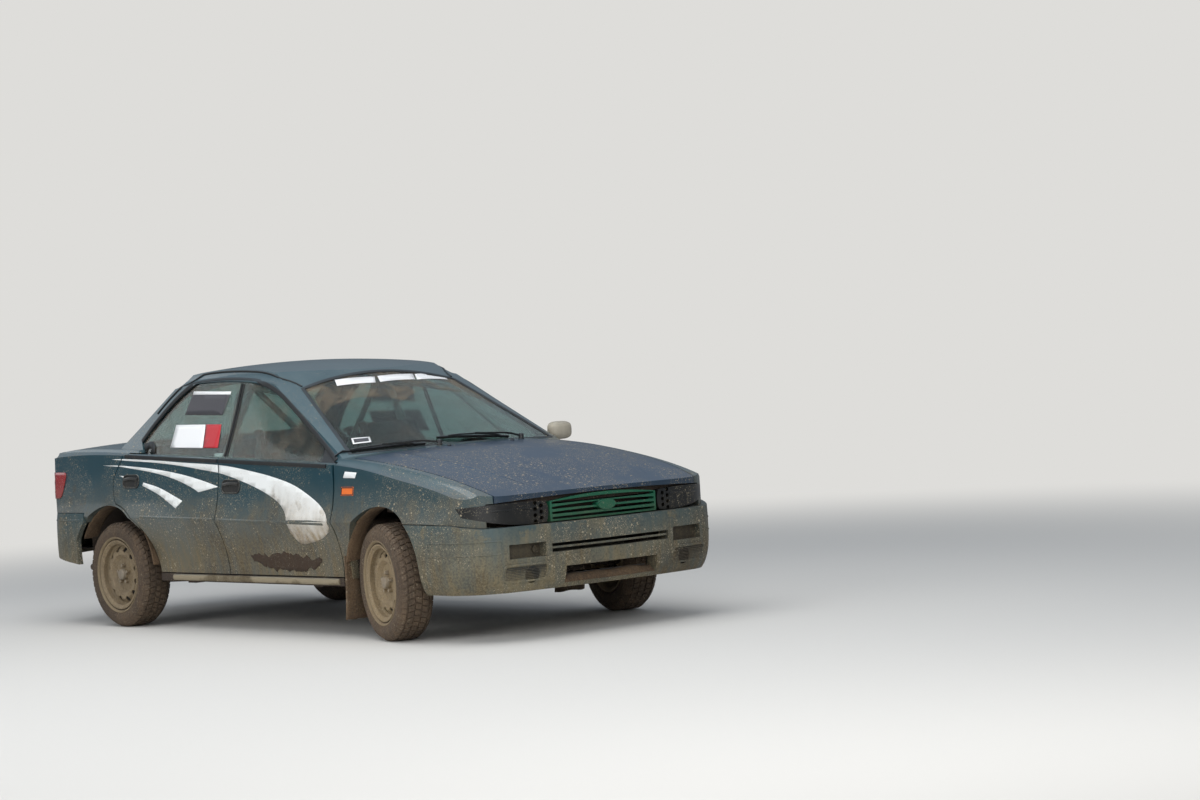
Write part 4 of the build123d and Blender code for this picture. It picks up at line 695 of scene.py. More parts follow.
def build_materials():
    """Every finish, by name, in MATERIALS."""
    grime, paint = bpy.context.scene.rally_grime, bpy.context.scene.rally_paint
    GROUPS["grime"] = build_grime_group()
    GROUPS["cloth"] = build_cloth_group()
    GROUPS["moulding"] = build_moulding_group()
    low, high, all_over = grime.bottom, grime.top, (9.0, 8.0)
    wet = (*grime.wet_colour, 1)
    # Body and bumpers
    # The bluish dust colours below paint the sky's reflection on tops as well as dust
    grimy("body_paint", (*paint.body, 1), 0.28, (high, low, 0.98), 0.36, 1.0, dust_sheen_colour=linear("66767A"),
          Metallic=0.35, Coat_Weight=0.9, Coat_Roughness=0.08)
    grimy("hood_paint", (*paint.hood, 1), 0.34, (0.80, 0.55, 0.30), 0.26, 1.8, Metallic=0.3, Coat_Weight=0.6,
          Coat_Roughness=0.14, dust_sheen_colour=linear("42586E"))
    grimy("bumper_paint", (*paint.body, 1), 0.40, (0.78, 0.30, 1.0), 0.36, 2.0, bump=0.5, Metallic=0.1,
          Coat_Weight=0.3, dust_sheen_colour=linear("57707A"), mud_colour=linear("746A51"))
    grimy("grille_paint", (*paint.grille, 1), 0.42, (0.7, 0.5, 0.25), 0.15, 0.3)
    grimy("floor_paint_dirty", linear("2E2C28"), 0.7, (*all_over, 0.7), 0.4, 0.5, mud_colour=wet)
    # Black plastic and rubber
    grimy("blanking_plate", linear("0B0C0D"), 0.30, (0.75, 0.3, 0.14), 0.05, 1.0, bump=0.35)
    grimy("black_trim", linear("17181A"), 0.5, (high, low, 0.7), 0.25, 0.35, grain=(900.0, 0.3))
    grimy("handle_black", linear("101113"), 0.35, (0.9, 0.4, 0.35), 0.35, 0.4, dust_sheen_colour=linear("A7A79C"))
    grimy("wiper_black", linear("141416"), 0.5, (0.5, 0.3, 0.2), 0.2, 0.25)
    # Cabin
    grimy("cage_paint", linear("B9BBB8"), 0.35, (0.5, 0.3, 0.2), 0.1, 0.0)
    grimy("dash_plastic", linear("1D1E20"), 0.6, (0.4, 0.2, 0.1), 0.35, 0.0, grain=(500.0, 0.5))
    grimy("wheel_leather", linear("151515"), 0.5, (0.4, 0.2, 0.1), 0.1, 0.0, grain=(700.0, 0.6))
    # Under the hood and the floor
    grimy("cast_block", linear("5B5A57"), 0.6, (0.8, 0.3, 0.5), 0.3, 0.3, Metallic=0.6, grain=(300.0, 0.6))
    grimy("chassis_black", linear("1B1B1B"), 0.6, (*all_over, 0.75), 0.2, 0.5, mud_colour=wet, bump=0.5)
    grimy("pipe_steel", linear("6E655B"), 0.45, (*all_over, 0.6), 0.2, 0.5, mud_colour=wet, Metallic=0.9)
    grimy("guard_alloy", linear("9A9A98"), 0.4, (*all_over, 0.75), 0.2, 0.6, mud_colour=wet, Metallic=0.9)
    # Mud that stands by itself, blanks and flaps
    grimy("sill_mud", linear("8C8068"), 0.6, (0.300, 0.268, 0.9), 0.3, 0.6, bump=0.4)
    grimy("wet_mud", linear("2E2418"), 0.6, (*all_over, 0.9), 0.1, 0.3, mud_colour=wet, bump=0.8)
    grimy("blank_ribs", linear("1B1D1D"), 0.6, (0.45, 0.24, 0.7), 0.2, 0.7, bump=0.4)
    grimy("flap_rubber", linear("2A241E"), 0.8, (*all_over, 1.0), 0.2, 0.5, mud_colour=linear("6B563F"),
          bump=0.7)
    grimy("mirror_shell", linear("B9B1A0"), 0.5, (1.4, 0.8, 0.35), 0.3, 0.6)
    # Wheels
    grimy("wheel_paint", linear("8F8068"), 0.55, (*all_over, 0.75), 0.1, 0.6, mud_colour=linear("84704F"),
          bump=0.6)
    # Near-black painted shade inside the wheel, behind the rim's slots, on the drum lip
    grimy("drum_black", linear("060606"), 0.9, (*all_over, 0.15), 0.0, 0.0, mud_colour=wet)
    grimy("flange_paint", linear("B0A48C"), 0.5, (*all_over, 0.5), 0.1, 0.5, mud_colour=linear("7A6243"))
    grimy("bead_mud", linear("8F8268"), 0.8, (*all_over, 0.6), 0.1, 0.4, mud_colour=linear("6E5637"))
    grimy("tyre_rubber", linear("232120"), 0.85, (*all_over, 0.8), 0.05, 0.4, mud_colour=linear("675440"),
          bump=0.9, grain=(500.0, 0.4))
    # Stripes and blank stickers
    grimy("stripe_vinyl", (*paint.vinyl, 1), 0.4, (0.80, 0.50, 0.95), 0.05, 0.35, mud_colour=linear("9C8868"))
    grimy("sticker_white", linear("E9EAEA"), 0.4, (0.7, 0.4, 0.3), 0.05, 0.1)
    grimy("sticker_grey", linear("3C3B40"), 0.45, (0.7, 0.4, 0.2), 0.1, 0.1)
    grimy("sticker_red", linear("B4202A"), 0.4, (0.7, 0.4, 0.2), 0.05, 0.1)
    # Seals, bright parts and lenses
    grimy("seal_rubber", linear("0C0D0E"), 0.6, (high, low, 0.5), 0.2, 0.15)
    grimy("bright_steel", linear("A8A296"), 0.35, (*all_over, 0.7), 0.1, 0.4, mud_colour=linear("8A7558"),
          Metallic=0.9)
    grimy("caked_mud", wet, 0.95, (*all_over, 1.0), 0.3, 0.2, mud_colour=linear("6B563F"), bump=1.0)
    grimy("red_lens", linear("8E1216"), 0.18, (0.95, 0.4, 0.6), 0.2, 0.5, Coat_Weight=0.5)
    grimy("orange_lens", linear("E8702A"), 0.2, (high, low, 0.45), 0.1, 0.3, Coat_Weight=0.5)
    # Glass and what lies on it
    glass("screen_glass", (0.30, 0.43, 0.41, 1), 0.015)
    glass("door_glass", (0.27, 0.40, 0.39, 1), 0.02)
    shader("mirror_face", Base_Color=(0.8, 0.82, 0.84, 1), Metallic=1.0, Roughness=0.06)
    splatter("screen_splatter", linear("8C7F6C"), 0.9,
             (((0.83, 0.23, 0.93), 0.46), ((0.79, -0.33, 0.95), 0.40)))
    splatter("door_splatter", linear("9A8C77"), 0.35)
    # Cloth
    woven("seat_cloth", linear("23304A"), linear("10151F"), 420.0, 0.35)
    woven("webbing", linear("8E1A1E"), linear("4A0D10"), 260.0, 0.3)


def woven(name, thread, second, threads, dirt):
    """Upholstery or webbing with its weave."""
    _, g, principled = shader(name, Roughness=0.95, Sheen_Weight=0.4)
    weave = g.add("ShaderNodeGroup", node_tree=GROUPS["cloth"])
    for label, value in {"Thread Colour": thread, "Second Colour": second, "Threads": threads,
                         "Dirt": dirt}.items():
        weave.inputs[label].default_value = value
    g.put(principled.inputs["Base Color"], weave.outputs["Colour"])
    relief = g.add("ShaderNodeBump", {"Strength": 0.4, "Distance": 0.001, "Height": weave.outputs["Height"]})
    g.put(principled.inputs["Normal"], relief.outputs[0])


class RALLY_OT_finishes(bpy.types.Operator):
    """Gives every piece of the frame its finish"""
    bl_idname = "rally.finishes"
    bl_label = "Paint and Finishes"

    def execute(self, context):
        build_materials()
        for name, node in NODES.items():
            stem = name.replace("right", "").replace("left", "") if name not in NODE_FINISH else name
            material = MATERIALS[NODE_FINISH[stem]]
            node.data.materials.clear()
            node.data.materials.append(material)
            for polygon in node.data.polygons:
                polygon.material_index = 0
        return {"FINISHED"}


# Wheels
# Half sections of the tyre, (sideways, radius): the tread's crown and the carcass from bead to tread
CROWN = [(0.0, 0.296), (0.067, 0.2945), (0.080, 0.289), (0.086, 0.275)]
CARCASS = [
    (0.0740, 0.196), (0.0790, 0.204), (0.0845, 0.207), (0.0875, 0.214), (0.0895, 0.226), (0.0918, 0.240),
    (0.0915, 0.252), (0.0900, 0.2555), (0.0905, 0.2585), (0.0880, 0.262), (0.0850, 0.270), (0.0790, 0.280),
    (0.0670, 0.2855), (0.0450, 0.2872), (0.0200, 0.2878),
]
SHOULDER_R = 0.275
# Rows of tread blocks: middle, width and shift in pitches
TREAD_ROWS = [(0.0, 0.030, 0.0), (0.0365, 0.030, 0.5), (0.0735, 0.026, 0.0)]


def crown_radius(v):
    """Radius of the tread's crown at a distance from the tyre's middle."""
    v = abs(v)
    for (v0, r0), (v1, r1) in zip(CROWN, CROWN[1:]):
        if v <= v1:
            return r0 + (r1 - r0) * (v - v0) / (v1 - v0)
    return CROWN[-1][1]


def turned(frame, angle, v, radius):
    """Point at an angle round a wheel's axis, v along it."""
    return frame @ Vector((radius * math.sin(angle), v, radius * math.cos(angle)))


def build_tyre(name, joint, body):
    """Lumpy carcass with rows of worn tread blocks."""
    tyres = bpy.context.scene.rally_tyres
    frame, bm = spin_frame(joint), bmesh.new()
    profile = [(-v, r) for v, r in CARCASS] + [(v, r) for v, r in reversed(CARCASS)]
    steps, rings = 132, []
    for k in range(steps):
        angle = 2 * math.pi * k / steps
        ring = []
        for v, r in profile:
            spot = Vector((v * 60, math.sin(angle) * 9, math.cos(angle) * 9))
            lump = noise.noise(spot) if r > SHOULDER_R else 0.0
            ring.append(bm.verts.new(turned(frame, angle, v, r + 0.0022 * max(0.0, lump))))
        rings.append(ring)
    skin(bm, rings, along=True)
    pitch = 2 * math.pi / tyres.pitches
    half_angle = (pitch - tyres.groove / 0.29) / 2
    wear = random.Random(7)
    for middle, width, shift in TREAD_ROWS:
        for sign in ((1,) if middle == 0 else (-1, 1)):
            for k in range(tyres.pitches):
                centre = (k + shift + (0.25 if sign > 0 else 0.0)) * pitch
                drop = wear.uniform(0.0, 0.0006)
                levels = []
                for inset, rise in ((0.0, -tyres.depth - 0.001), (0.0, -0.0014), (0.0013, 0.0)):
                    corners = []
                    for du, dv in ((-1, -1), (1, -1), (1, 1), (-1, 1)):
                        v = sign * middle + dv * (width / 2 - inset)
                        slant = 0.012 * dv * (1 if sign > 0 else -1)
                        angle = centre + du * (half_angle - inset / 0.29) + slant
                        corners.append(bm.verts.new(turned(frame, angle, v, crown_radius(v) + rise - drop)))
                    levels.append(corners)
                skin(bm, levels)
                bm.faces.new(levels[-1])
                bm.faces.new(list(reversed(levels[0])))
    node = name.replace("gravel_", "")
    made = from_bmesh(name, bm, "tyre_rubber", body, 40.0)
    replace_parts(made, node)


def hexagon_nut(bm, frame, angle, circle, v0, v1, radius=0.0105):
    """Six-sided wheel nut with a domed end."""
    centre = Vector((circle * math.sin(angle), 0, circle * math.cos(angle)))
    rings = []
    for v, r in ((v0, radius), (v0 + (v1 - v0) * 0.75, radius), (v1, radius * 0.72)):
        rings.append([bm.verts.new(frame @ (centre + Vector((r * math.sin(math.pi * k / 3 + angle), v,
                                                             r * math.cos(math.pi * k / 3 + angle)))))
                      for k in range(6)])
    skin(bm, rings)
    bm.faces.new(rings[-1])
    bm.faces.new(list(reversed(rings[0])))


def lathe(bm, frame, profile, steps=48):
    """Turns (sideways, radius) points about the frame's own Y and closes both ends."""
    rings = [[bm.verts.new(turned(frame, 2 * math.pi * k / steps, v, r)) for k in range(steps)]
             for v, r in profile]
    skin(bm, rings)
    cap(bm, rings)


def torus(bm, frame, profile, steps=96):
    """Turns a closed (sideways, radius) section about the frame's own Y."""
    rings = [[bm.verts.new(turned(frame, 2 * math.pi * k / steps, v, r)) for v, r in profile]
             for k in range(steps)]
    skin(bm, rings, along=True)


HUB_FACE = 0.038
NUTS, NUT_CIRCLE = 5, 0.050
DUST_CAP = [(-0.004, 0.0325), (0.020, 0.0320), (0.030, 0.0270), (0.033, 0.012)]
# Rings on a wheel: name, paint, slot, sharp angle and section (outboard, radius)
WHEEL_RINGS = (
    # The drum lip stands for the brake drum and is near-black painted shade, so the rim's slots read dark
    ("drum_lip", "drum_black", "chassis_steel", 30.0, [
        (0.0480, 0.1180), (0.0500, 0.1365), (0.0250, 0.1655), (0.0220, 0.1640), (0.0465, 0.1350),
        (0.0450, 0.1180)]),
    ("flange", "flange_paint", "wheel_paint", 40.0, [
        (0.0690, 0.1775), (0.0755, 0.1790), (0.0768, 0.1830), (0.0755, 0.1875), (0.0690, 0.1890)]),
    ("bead", "bead_mud", "wheel_paint", 40.0, [
        (0.0790, 0.2020), (0.0865, 0.2055), (0.0900, 0.2125), (0.0880, 0.2145), (0.0790, 0.2100)]),
)


class RALLY_OT_wheels(bpy.types.Operator):
    """Gravel tyres with cut blocks, wheel nuts, dust caps, drum shields in near-black painted shade behind
    the rim's slots, rim flanges and tyre beads
    """
    bl_idname = "rally.wheels"
    bl_label = "Wheels"

    def execute(self, context):
        for end in ("front", "rear"):
            for side_name, side in SIDES:
                body, joint = f"wheel_{end}_{side_name}", f"spin_{end}_{side_name}"
                build_tyre(f"gravel_{end}_tyre_{side_name}", joint, body)
                frame, bm, face = spin_frame(joint), bmesh.new(), side * HUB_FACE
                for k in range(NUTS):
                    hexagon_nut(bm, frame, 2 * math.pi * k / NUTS, NUT_CIRCLE, face, face + side * 0.021)
                lathe(bm, frame, [(face + side * v, r) for v, r in DUST_CAP])
                from_bmesh(f"{end}_nuts_{side_name}", bm, "bright_steel", body, 30.0)
                for label, material, slot, smooth, ring in WHEEL_RINGS:
                    bm = bmesh.new()
                    torus(bm, frame, [(side * v, r) for v, r in ring])
                    from_bmesh(f"{end}_{label}_{side_name}", bm, material, body, smooth)
        return {"FINISHED"}


# Glazing
SCREEN_FACING = (0.44, 0, 0.9)


def arc_points(a, b, c, count):
    """Points of the circle through three points, from a to c."""
    (ax, ay), (bx, by), (cx, cy) = a, b, c
    d = 2 * (ax * (by - cy) + bx * (cy - ay) + cx * (ay - by))
    aa, bb, cc = ax ** 2 + ay ** 2, bx ** 2 + by ** 2, cx ** 2 + cy ** 2
    ux = (aa * (by - cy) + bb * (cy - ay) + cc * (ay - by)) / d
    uy = (aa * (cx - bx) + bb * (ax - cx) + cc * (bx - ax)) / d
    radius = math.hypot(ax - ux, ay - uy)
    start, middle, end = (math.atan2(y - uy, x - ux) for x, y in (a, b, c))
    turn = (end - start) % (2 * math.pi)
    if (middle - start) % (2 * math.pi) > turn:
        turn -= 2 * math.pi
    return [(ux + radius * math.cos(start + turn * k / count),
             uy + radius * math.sin(start + turn * k / count))
            for k in range(count + 1)]


def grow_path(points, amount):
    """Moves an (x, z) line sideways, to its left for a positive amount."""
    grown = []
    for i, (x, z) in enumerate(points):
        x0, z0 = points[max(0, i - 1)]
        x1, z1 = points[min(len(points) - 1, i + 1)]
        length = math.hypot(x1 - x0, z1 - z0)
        grown.append((x - (z1 - z0) / length * amount, z + (x1 - x0) / length * amount))
    return grown


def glass_outline():
    """Upper edge of one side's glass, front foot to rear corner, in (x, z)."""
    line = arc_points((0.847, 0.896), (0.570, 1.058), (0.300, 1.208), 14)
    line += arc_points((0.300, 1.208), (0.105, 1.294), (-0.145, 1.336), 12)[1:]
    line += arc_points((-0.145, 1.336), (-0.435, 1.344), (-0.615, 1.338), 12)[1:]
    line += arc_points((-0.615, 1.338), (-0.845, 1.218), (-1.070, 1.030), 16)[1:]
    return line


def belt_height(x):
    """Height of the lower edge of the side glass."""
    return 0.896 + (0.847 - x) / 1.857 * 0.074


def strip_profile(width, height, bury=0.004, base=0.0):
    """Flat moulding with rounded edges: (out, sideways) points."""
    half = width / 2
    return [(base - bury, half), (base + height * 0.4, half), (base + height * 0.85, half * 0.86),
            (base + height, half * 0.6), (base + height, -half * 0.6), (base + height * 0.85, -half * 0.86),
            (base + height * 0.4, -half), (base - bury, -half)]


def strip_on(name, tree, sheet, line, profile, material, body, closed=False):
    """Moulding along an open or closed line drawn on a surface."""
    places, normals = follow(tree, sheet, dense(line) if closed else line)
    bm = bmesh.new()
    sweep(bm, places, normals, profile, closed)
    from_bmesh(name, bm, material, body, 40.0)


def screen_seal(name, node, facing):
    """Rubber bead that laps a bowed screen's edge and the body round it."""
    loop = outer_loop(node, facing)
    points, normals = [p for p, _ in loop], [n for _, n in loop]
    middle = sum(points, Vector()) / len(points)
    tangent = (points[1] - points[-1]).normalized()
    inward = 1 if tangent.cross(normals[0]).dot(middle - points[0]) > 0 else -1
    bm = bmesh.new()
    section = [(-0.002, 0.014), (0.003, 0.013), (0.0058, 0.006), (0.0066, -0.004), (0.0060, -0.009),
               (-0.002, -0.009)]
    sweep(bm, points, normals, [(a, b * inward) for a, b in section], closed=True)
    from_bmesh(name, bm, "seal_rubber", "body", 40.0)


class RALLY_OT_seals(bpy.types.Operator):
    """Rubber round both screens, along the side glass and under it"""
    bl_idname = "rally.seals"
    bl_label = "Seals and Mouldings"

    def execute(self, context):
        screen_seal("windscreen_seal", "windscreen", SCREEN_FACING)
        screen_seal("rear_window_seal", "rear_window", (-0.52, 0, 0.85))
        shell = surface_of("cabin_frame")
        for side_name, side in SIDES:
            sheet = side_sheet(side)
            line = glass_outline()
            strip_on(f"side_window_seal_{side_name}", shell, sheet, grow_path(line, -0.0155),
                     strip_profile(0.026, 0.0045), "seal_rubber", "body")
            for end, x0, x1 in (("front", 0.838, -0.146), ("rear", -0.162, -1.100)):
                door = surface_of(f"{end}_door_{side_name}")
                belt = [(x0 + (x1 - x0) * k / 24, belt_height(x0 + (x1 - x0) * k / 24) - 0.0125)
                        for k in range(25)]
                strip_on(f"belt_moulding_{end}_{side_name}", door, sheet, belt, strip_profile(0.021, 0.006),
                         "seal_rubber", f"door_{end}_{side_name}")
        return {"FINISHED"}


class RALLY_OT_screen_dirt(bpy.types.Operator):
    """Dried spots and haze on the windscreen, outside the wiped arcs, and on the side glass"""
    bl_idname = "rally.screen_dirt"
    bl_label = "Dirt on the Glass"

    def execute(self, context):
        down = top_sheet()
        loop = [(p.x, p.y) for p, _ in outer_loop("windscreen", SCREEN_FACING)]
        lay_sheet("windscreen_dirt", inset_loop(loop, 0.012), down, surface_of("windscreen"),
                  "screen_splatter", "body", 0.0006, 0.0003, 0.06)
        for side_name, side in SIDES:
            for end in ("front", "rear"):
                node = f"{end}_door_glass_{side_name}"
                loop = [(p.x, p.z) for p, _ in outer_loop(node, (0, side, 0.3))]
                lay_sheet(f"{end}_glass_dirt_{side_name}", inset_loop(loop, 0.004), side_sheet(side),
                          surface_of(node), "door_splatter", f"door_{end}_{side_name}",
                          0.0006, 0.0003, 0.08)
        return {"FINISHED"}


def inset_loop(loop, amount):
    """Closed 2-D outline moved inwards."""
    sign = 1 if signed_area(loop) > 0 else -1
    n, inner = len(loop), []
    for i, (x, y) in enumerate(loop):
        x0, y0 = loop[i - 1]
        x1, y1 = loop[(i + 1) % n]
        a = Vector((x - x0, y - y0)).normalized()
        b = Vector((x1 - x, y1 - y)).normalized()
        bisector = Vector((-a.y - b.y, a.x + b.x))
        share = max(0.35, bisector.length / 2)
        step = bisector.normalized() * (amount * sign / share)
        inner.append((x + step.x, y + step.y))
    return inner


# Side stripes and stickers, in (x, z) on the car's side
SWEEP = [
    (-1.250, 0.947), (-1.060, 0.946), (-0.804, 0.937), (-0.533, 0.922), (-0.268, 0.909), (-0.074, 0.896),
    (0.135, 0.869), (0.340, 0.837), (0.539, 0.793), (0.693, 0.736), (0.806, 0.682), (0.869, 0.631),
    (0.883, 0.585), (0.850, 0.545), (0.767, 0.510), (0.666, 0.490), (0.585, 0.482), (0.547, 0.503),
    (0.512, 0.545), (0.516, 0.619), (0.446, 0.688), (0.309, 0.747), (0.107, 0.805), (-0.122, 0.855),
    (-0.316, 0.879), (-0.535, 0.903), (-0.806, 0.924), (-1.061, 0.936),
]
MIDDLE_STRIPE = [
    (-1.351, 0.913), (-1.135, 0.910), (-0.810, 0.889), (-0.540, 0.859), (-0.322, 0.823), (-0.148, 0.786),
    (-0.341, 0.758), (-0.415, 0.785), (-0.589, 0.831), (-0.812, 0.869), (-1.136, 0.903),
]
SHORT_STRIPES = [
    [(-1.166, 0.855), (-1.067, 0.849), (-1.069, 0.829)],
    [(-0.905, 0.815), (-0.731, 0.783), (-0.491, 0.712), (-0.551, 0.672), (-0.735, 0.746), (-0.914, 0.797)],
]
STRIPE_LIFT, STRIPE_THICK = 0.0008, 0.0006
GRID = 0.03             # spacing of the cuts that let a stripe follow its panel
QUARTER = [(-1.6, 0.6), (-0.7, 0.6), (-0.7, 1.0), (-1.6, 1.0)]
FRONT_DOOR_EDGE = arc_points((0.886, 0.313), (0.906, 0.620), (0.884, 0.894), 24)
FRONT_DOOR_EDGE += [(-0.151, 0.936), (-0.151, 0.313)]


def signed_area(loop):
    """Area of a closed outline, positive anticlockwise."""
    return sum(a[0] * b[1] - b[0] * a[1] for a, b in zip(loop, loop[1:] + loop[:1])) / 2


def clip_outline(outline, region, holes=()):
    """Parts of an outline that lie inside a region and outside its holes: flat points and faces."""
    loops = [loop if signed_area(loop) > 0 else loop[::-1] for loop in (outline, region, *holes)]
    points, faces = [], []
    for loop in loops:
        faces.append(list(range(len(points), len(points) + len(loop))))
        points += [Vector(p) for p in loop]
    xs, zs = [p[0] for p in outline], [p[1] for p in outline]
    edges = []
    for axis, values in ((0, xs), (1, zs)):
        across = zs if axis == 0 else xs
        cut = math.ceil(min(values) / GRID) * GRID
        while cut < max(values):
            low, high = min(across) - 0.01, max(across) + 0.01
            ends = [(cut, low), (cut, high)] if axis == 0 else [(low, cut), (high, cut)]
            edges.append((len(points), len(points) + 1))
            points += [Vector(p) for p in ends]
            cut += GRID
    result = delaunay_2d_cdt(points, edges, faces, 0, 1e-6)
    kept = [face for face, origin in zip(result[2], result[5])
            if 0 in origin and 1 in origin and not any(i + 2 in origin for i in range(len(holes)))]
    return result[0], kept


def lay_stripe(name, outline, region, holes, side, tree, body):
    """Stripe cut exactly at a panel's edges and laid on it."""
    flat, faces = clip_outline(outline, region, holes)
    if not faces:
        return
    sheet, bm, made = side_sheet(side), bmesh.new(), {}
    for face in faces:
        for i in face:
            if i in made:
                continue
            place, normal, _, _ = tree.ray_cast(sheet.at(*flat[i]), sheet.towards)
            if place is None:
                place, normal, _, _ = tree.find_nearest(Vector((flat[i][0], side * 0.80, flat[i][1])))
            if normal.dot(sheet.towards) > 0:
                normal = -normal
            made[i] = bm.verts.new(place + normal * STRIPE_LIFT)
        bm.faces.new([made[i] for i in face])
    thicken(from_bmesh(name, bm, "stripe_vinyl", body, 60.0), STRIPE_THICK, 1.0)


class RALLY_OT_stripes(bpy.types.Operator):
    """White sweep and stripes, cut at the doors' shut lines"""
    bl_idname = "rally.stripes"
    bl_label = "Side Stripes"

    def execute(self, context):
        sweep_outline = [tuple(p.xy) for p in spline([(x, z, 0) for x, z in SWEEP], 110, closed=True)]
        outlines = [sweep_outline, SHORT_STRIPES[0]]
        for shape, turn in ((MIDDLE_STRIPE, 5), (SHORT_STRIPES[1], 2)):
            outlines.append(line_of(shape[:turn + 1], 30) + line_of(shape[turn + 1:], 30))
        for side_name, side in SIDES:
            rear = [(p.x, p.z) for p, _ in outer_loop(f"rear_door_{side_name}", (0, side, 0), 0.2)]
            panels = {"front": FRONT_DOOR_EDGE, "rear": rear}
            for number, outline in enumerate(outlines, 1):
                for end, loop in panels.items():
                    lay_stripe(f"stripe_{number}_{end}_{side_name}", outline, inset_loop(loop, 0.0012), (),
                               side, surface_of(f"{end}_door_{side_name}"), f"door_{end}_{side_name}")
                lay_stripe(f"stripe_{number}_quarter_{side_name}", outline, QUARTER,
                           (inset_loop(panels["rear"], -0.0075),), side, surface_of("cabin_frame"), "body")
        return {"FINISHED"}


GLASS_LABELS = [
    ("grey", [(-0.634, 1.303), (-0.251, 1.291), (-0.285, 1.166), (-0.678, 1.176)], "sticker_grey"),
    ("white", [(-0.746, 1.123), (-0.436, 1.119), (-0.404, 0.993), (-0.747, 1.001)], "sticker_white"),
    ("red", [(-0.430, 1.119), (-0.277, 1.116), (-0.252, 0.991), (-0.398, 0.993)], "sticker_red"),
]
GLASS_BAND = [(-0.636, 1.285), (-0.252, 1.275), (-0.251, 1.291), (-0.634, 1.303)]
SCREEN_PASS = [(0.780, -0.585), (0.822, -0.496), (0.866, -0.519), (0.828, -0.609)]
WING_LABEL = [(1.003, 0.855), (1.103, 0.849), (1.088, 0.820), (0.985, 0.823)]
LABEL_LIFT, LABEL_THICK = 0.0013, 0.0004
SCREEN_LABELS = [
    [(0.272, -0.300), (0.304, -0.057), (0.367, -0.099), (0.331, -0.329)],
    [(0.301, -0.037), (0.281, 0.220), (0.351, 0.181), (0.366, -0.068)],
    [(0.280, 0.232), (0.222, 0.480), (0.299, 0.445), (0.352, 0.193)],
]


class RALLY_OT_labels(bpy.types.Operator):
    """Blank stickers on the glass and on the wing"""
    bl_idname = "rally.labels"
    bl_label = "Blank Stickers"

    def execute(self, context):
        for side_name, side in SIDES:
            tree, body = surface_of(f"rear_door_glass_{side_name}"), f"door_rear_{side_name}"
            for label, outline, material in GLASS_LABELS:
                lay_sheet(f"glass_sticker_{label}_{side_name}", outline, side_sheet(side), tree, material,
                          body, LABEL_LIFT, LABEL_THICK, 0.05)
            lay_sheet(f"glass_sticker_band_{side_name}", GLASS_BAND, side_sheet(side), tree, "sticker_white",
                      body, 0.0019, LABEL_THICK, 0.05)
        down, screen = top_sheet(), surface_of("windscreen")
        for number, outline in enumerate(SCREEN_LABELS, 1):
            lay_sheet(f"screen_sticker_{number}", outline, down, screen, "sticker_white", "body",
                      LABEL_LIFT, LABEL_THICK, 0.04)
        lay_sheet("screen_pass", SCREEN_PASS, down, screen, "sticker_white", "body", LABEL_LIFT,
                  LABEL_THICK, 0.04)
        lay_sheet("screen_pass_window", inset_loop(SCREEN_PASS, 0.010), down, screen, "sticker_grey", "body",
                  0.0018, 0.0003, 0.04)
        lay_sheet("wing_sticker", WING_LABEL, side_sheet(-1), surface_of("front_wing_right"), "sticker_white",
                  "body", 0.0008, 0.0005, 0.04)
        return {"FINISHED"}


# Seats
SEAT_STATIONS = [
    # along, height, half-width, side height, way the padding faces (degrees above straight ahead)
    (0.440, 0.398, 0.186, 0.035, 68), (0.425, 0.420, 0.190, 0.060, 82), (0.330, 0.412, 0.196, 0.095, 92),
    (0.220, 0.403, 0.200, 0.110, 92), (0.120, 0.408, 0.203, 0.135, 84), (0.060, 0.424, 0.204, 0.165, 60),
    (0.034, 0.470, 0.205, 0.175, 30), (0.015, 0.560, 0.206, 0.160, 14), (-0.012, 0.660, 0.206, 0.130, 15),
    (-0.045, 0.760, 0.208, 0.120, 19), (-0.085, 0.860, 0.209, 0.105, 22), (-0.120, 0.930, 0.198, 0.070, 22),
    (-0.140, 0.975, 0.175, 0.060, 20), (-0.152, 1.010, 0.160, 0.085, 16), (-0.166, 1.050, 0.152, 0.075, 14),
    (-0.172, 1.068, 0.140, 0.030, 14),
]
SEAT_X, SEAT_Y = -0.031, 0.350
SHELL_THICKNESS = 0.026
SEAT_PADS = (
    # label, first and last station, half-width, thickness
    ("base", 1.0, 4.6, 0.150, 0.030), ("back", 6.4, 10.2, 0.150, 0.026), ("head", 12.3, 14.4, 0.115, 0.020),
)
PAD_PRESSURE = 2.5
PAD_GROWTH = 0.007
STRAP = four_sided(0.0013, 0.025, -0.0013, 0.025)


def seat_section(station, offset=0.0):
    """One station: its middle, the way its padding faces, half-width and side height."""
    along, height, half, wing, facing = station
    normal = Vector((math.cos(math.radians(facing)), 0, math.sin(math.radians(facing))))
    return Vector((SEAT_X + along, 0, height)) + normal * offset, normal, half, wing


def seat_shell(name, y_middle):
    """Padded one-piece bucket, a U-shaped section lofted from the seat's lip to its head."""
    bm, rows = bmesh.new(), []
    for station in SEAT_STATIONS:
        middle, normal, half, wing = seat_section(station)
        section = [(-half, wing), (-half, wing * 0.45), (-half + 0.012, 0.022), (-half + 0.045, 0.002),
                   (-half * 0.45, -0.004), (0, -0.006), (half * 0.45, -0.004), (half - 0.045, 0.002),
                   (half - 0.012, 0.022), (half, wing * 0.45), (half, wing)]
        rows.append([bm.verts.new(middle + Vector((0, y_middle + y, 0)) + normal * n) for y, n in section])
    skin(bm, rows, around=False)
    made = from_bmesh(name, bm, "seat_cloth", "body", 180.0)
    thicken(made, SHELL_THICKNESS, -1.0 if seat_faces_in(made, y_middle) else 1.0).use_even_offset = True
    smooth = made.modifiers.new("Rounding", "SUBSURF")
    smooth.levels = smooth.render_levels = 2
    return made


def seat_faces_in(made, y_middle):
    """True if the shell's faces look at the driver."""
    for polygon in made.data.polygons:
        centre = polygon.center
        if abs(centre.y - y_middle) < 0.05 and 0.38 < centre.z < 0.44:
            return polygon.normal.z > 0
    raise RuntimeError("the seat has no cushion face")


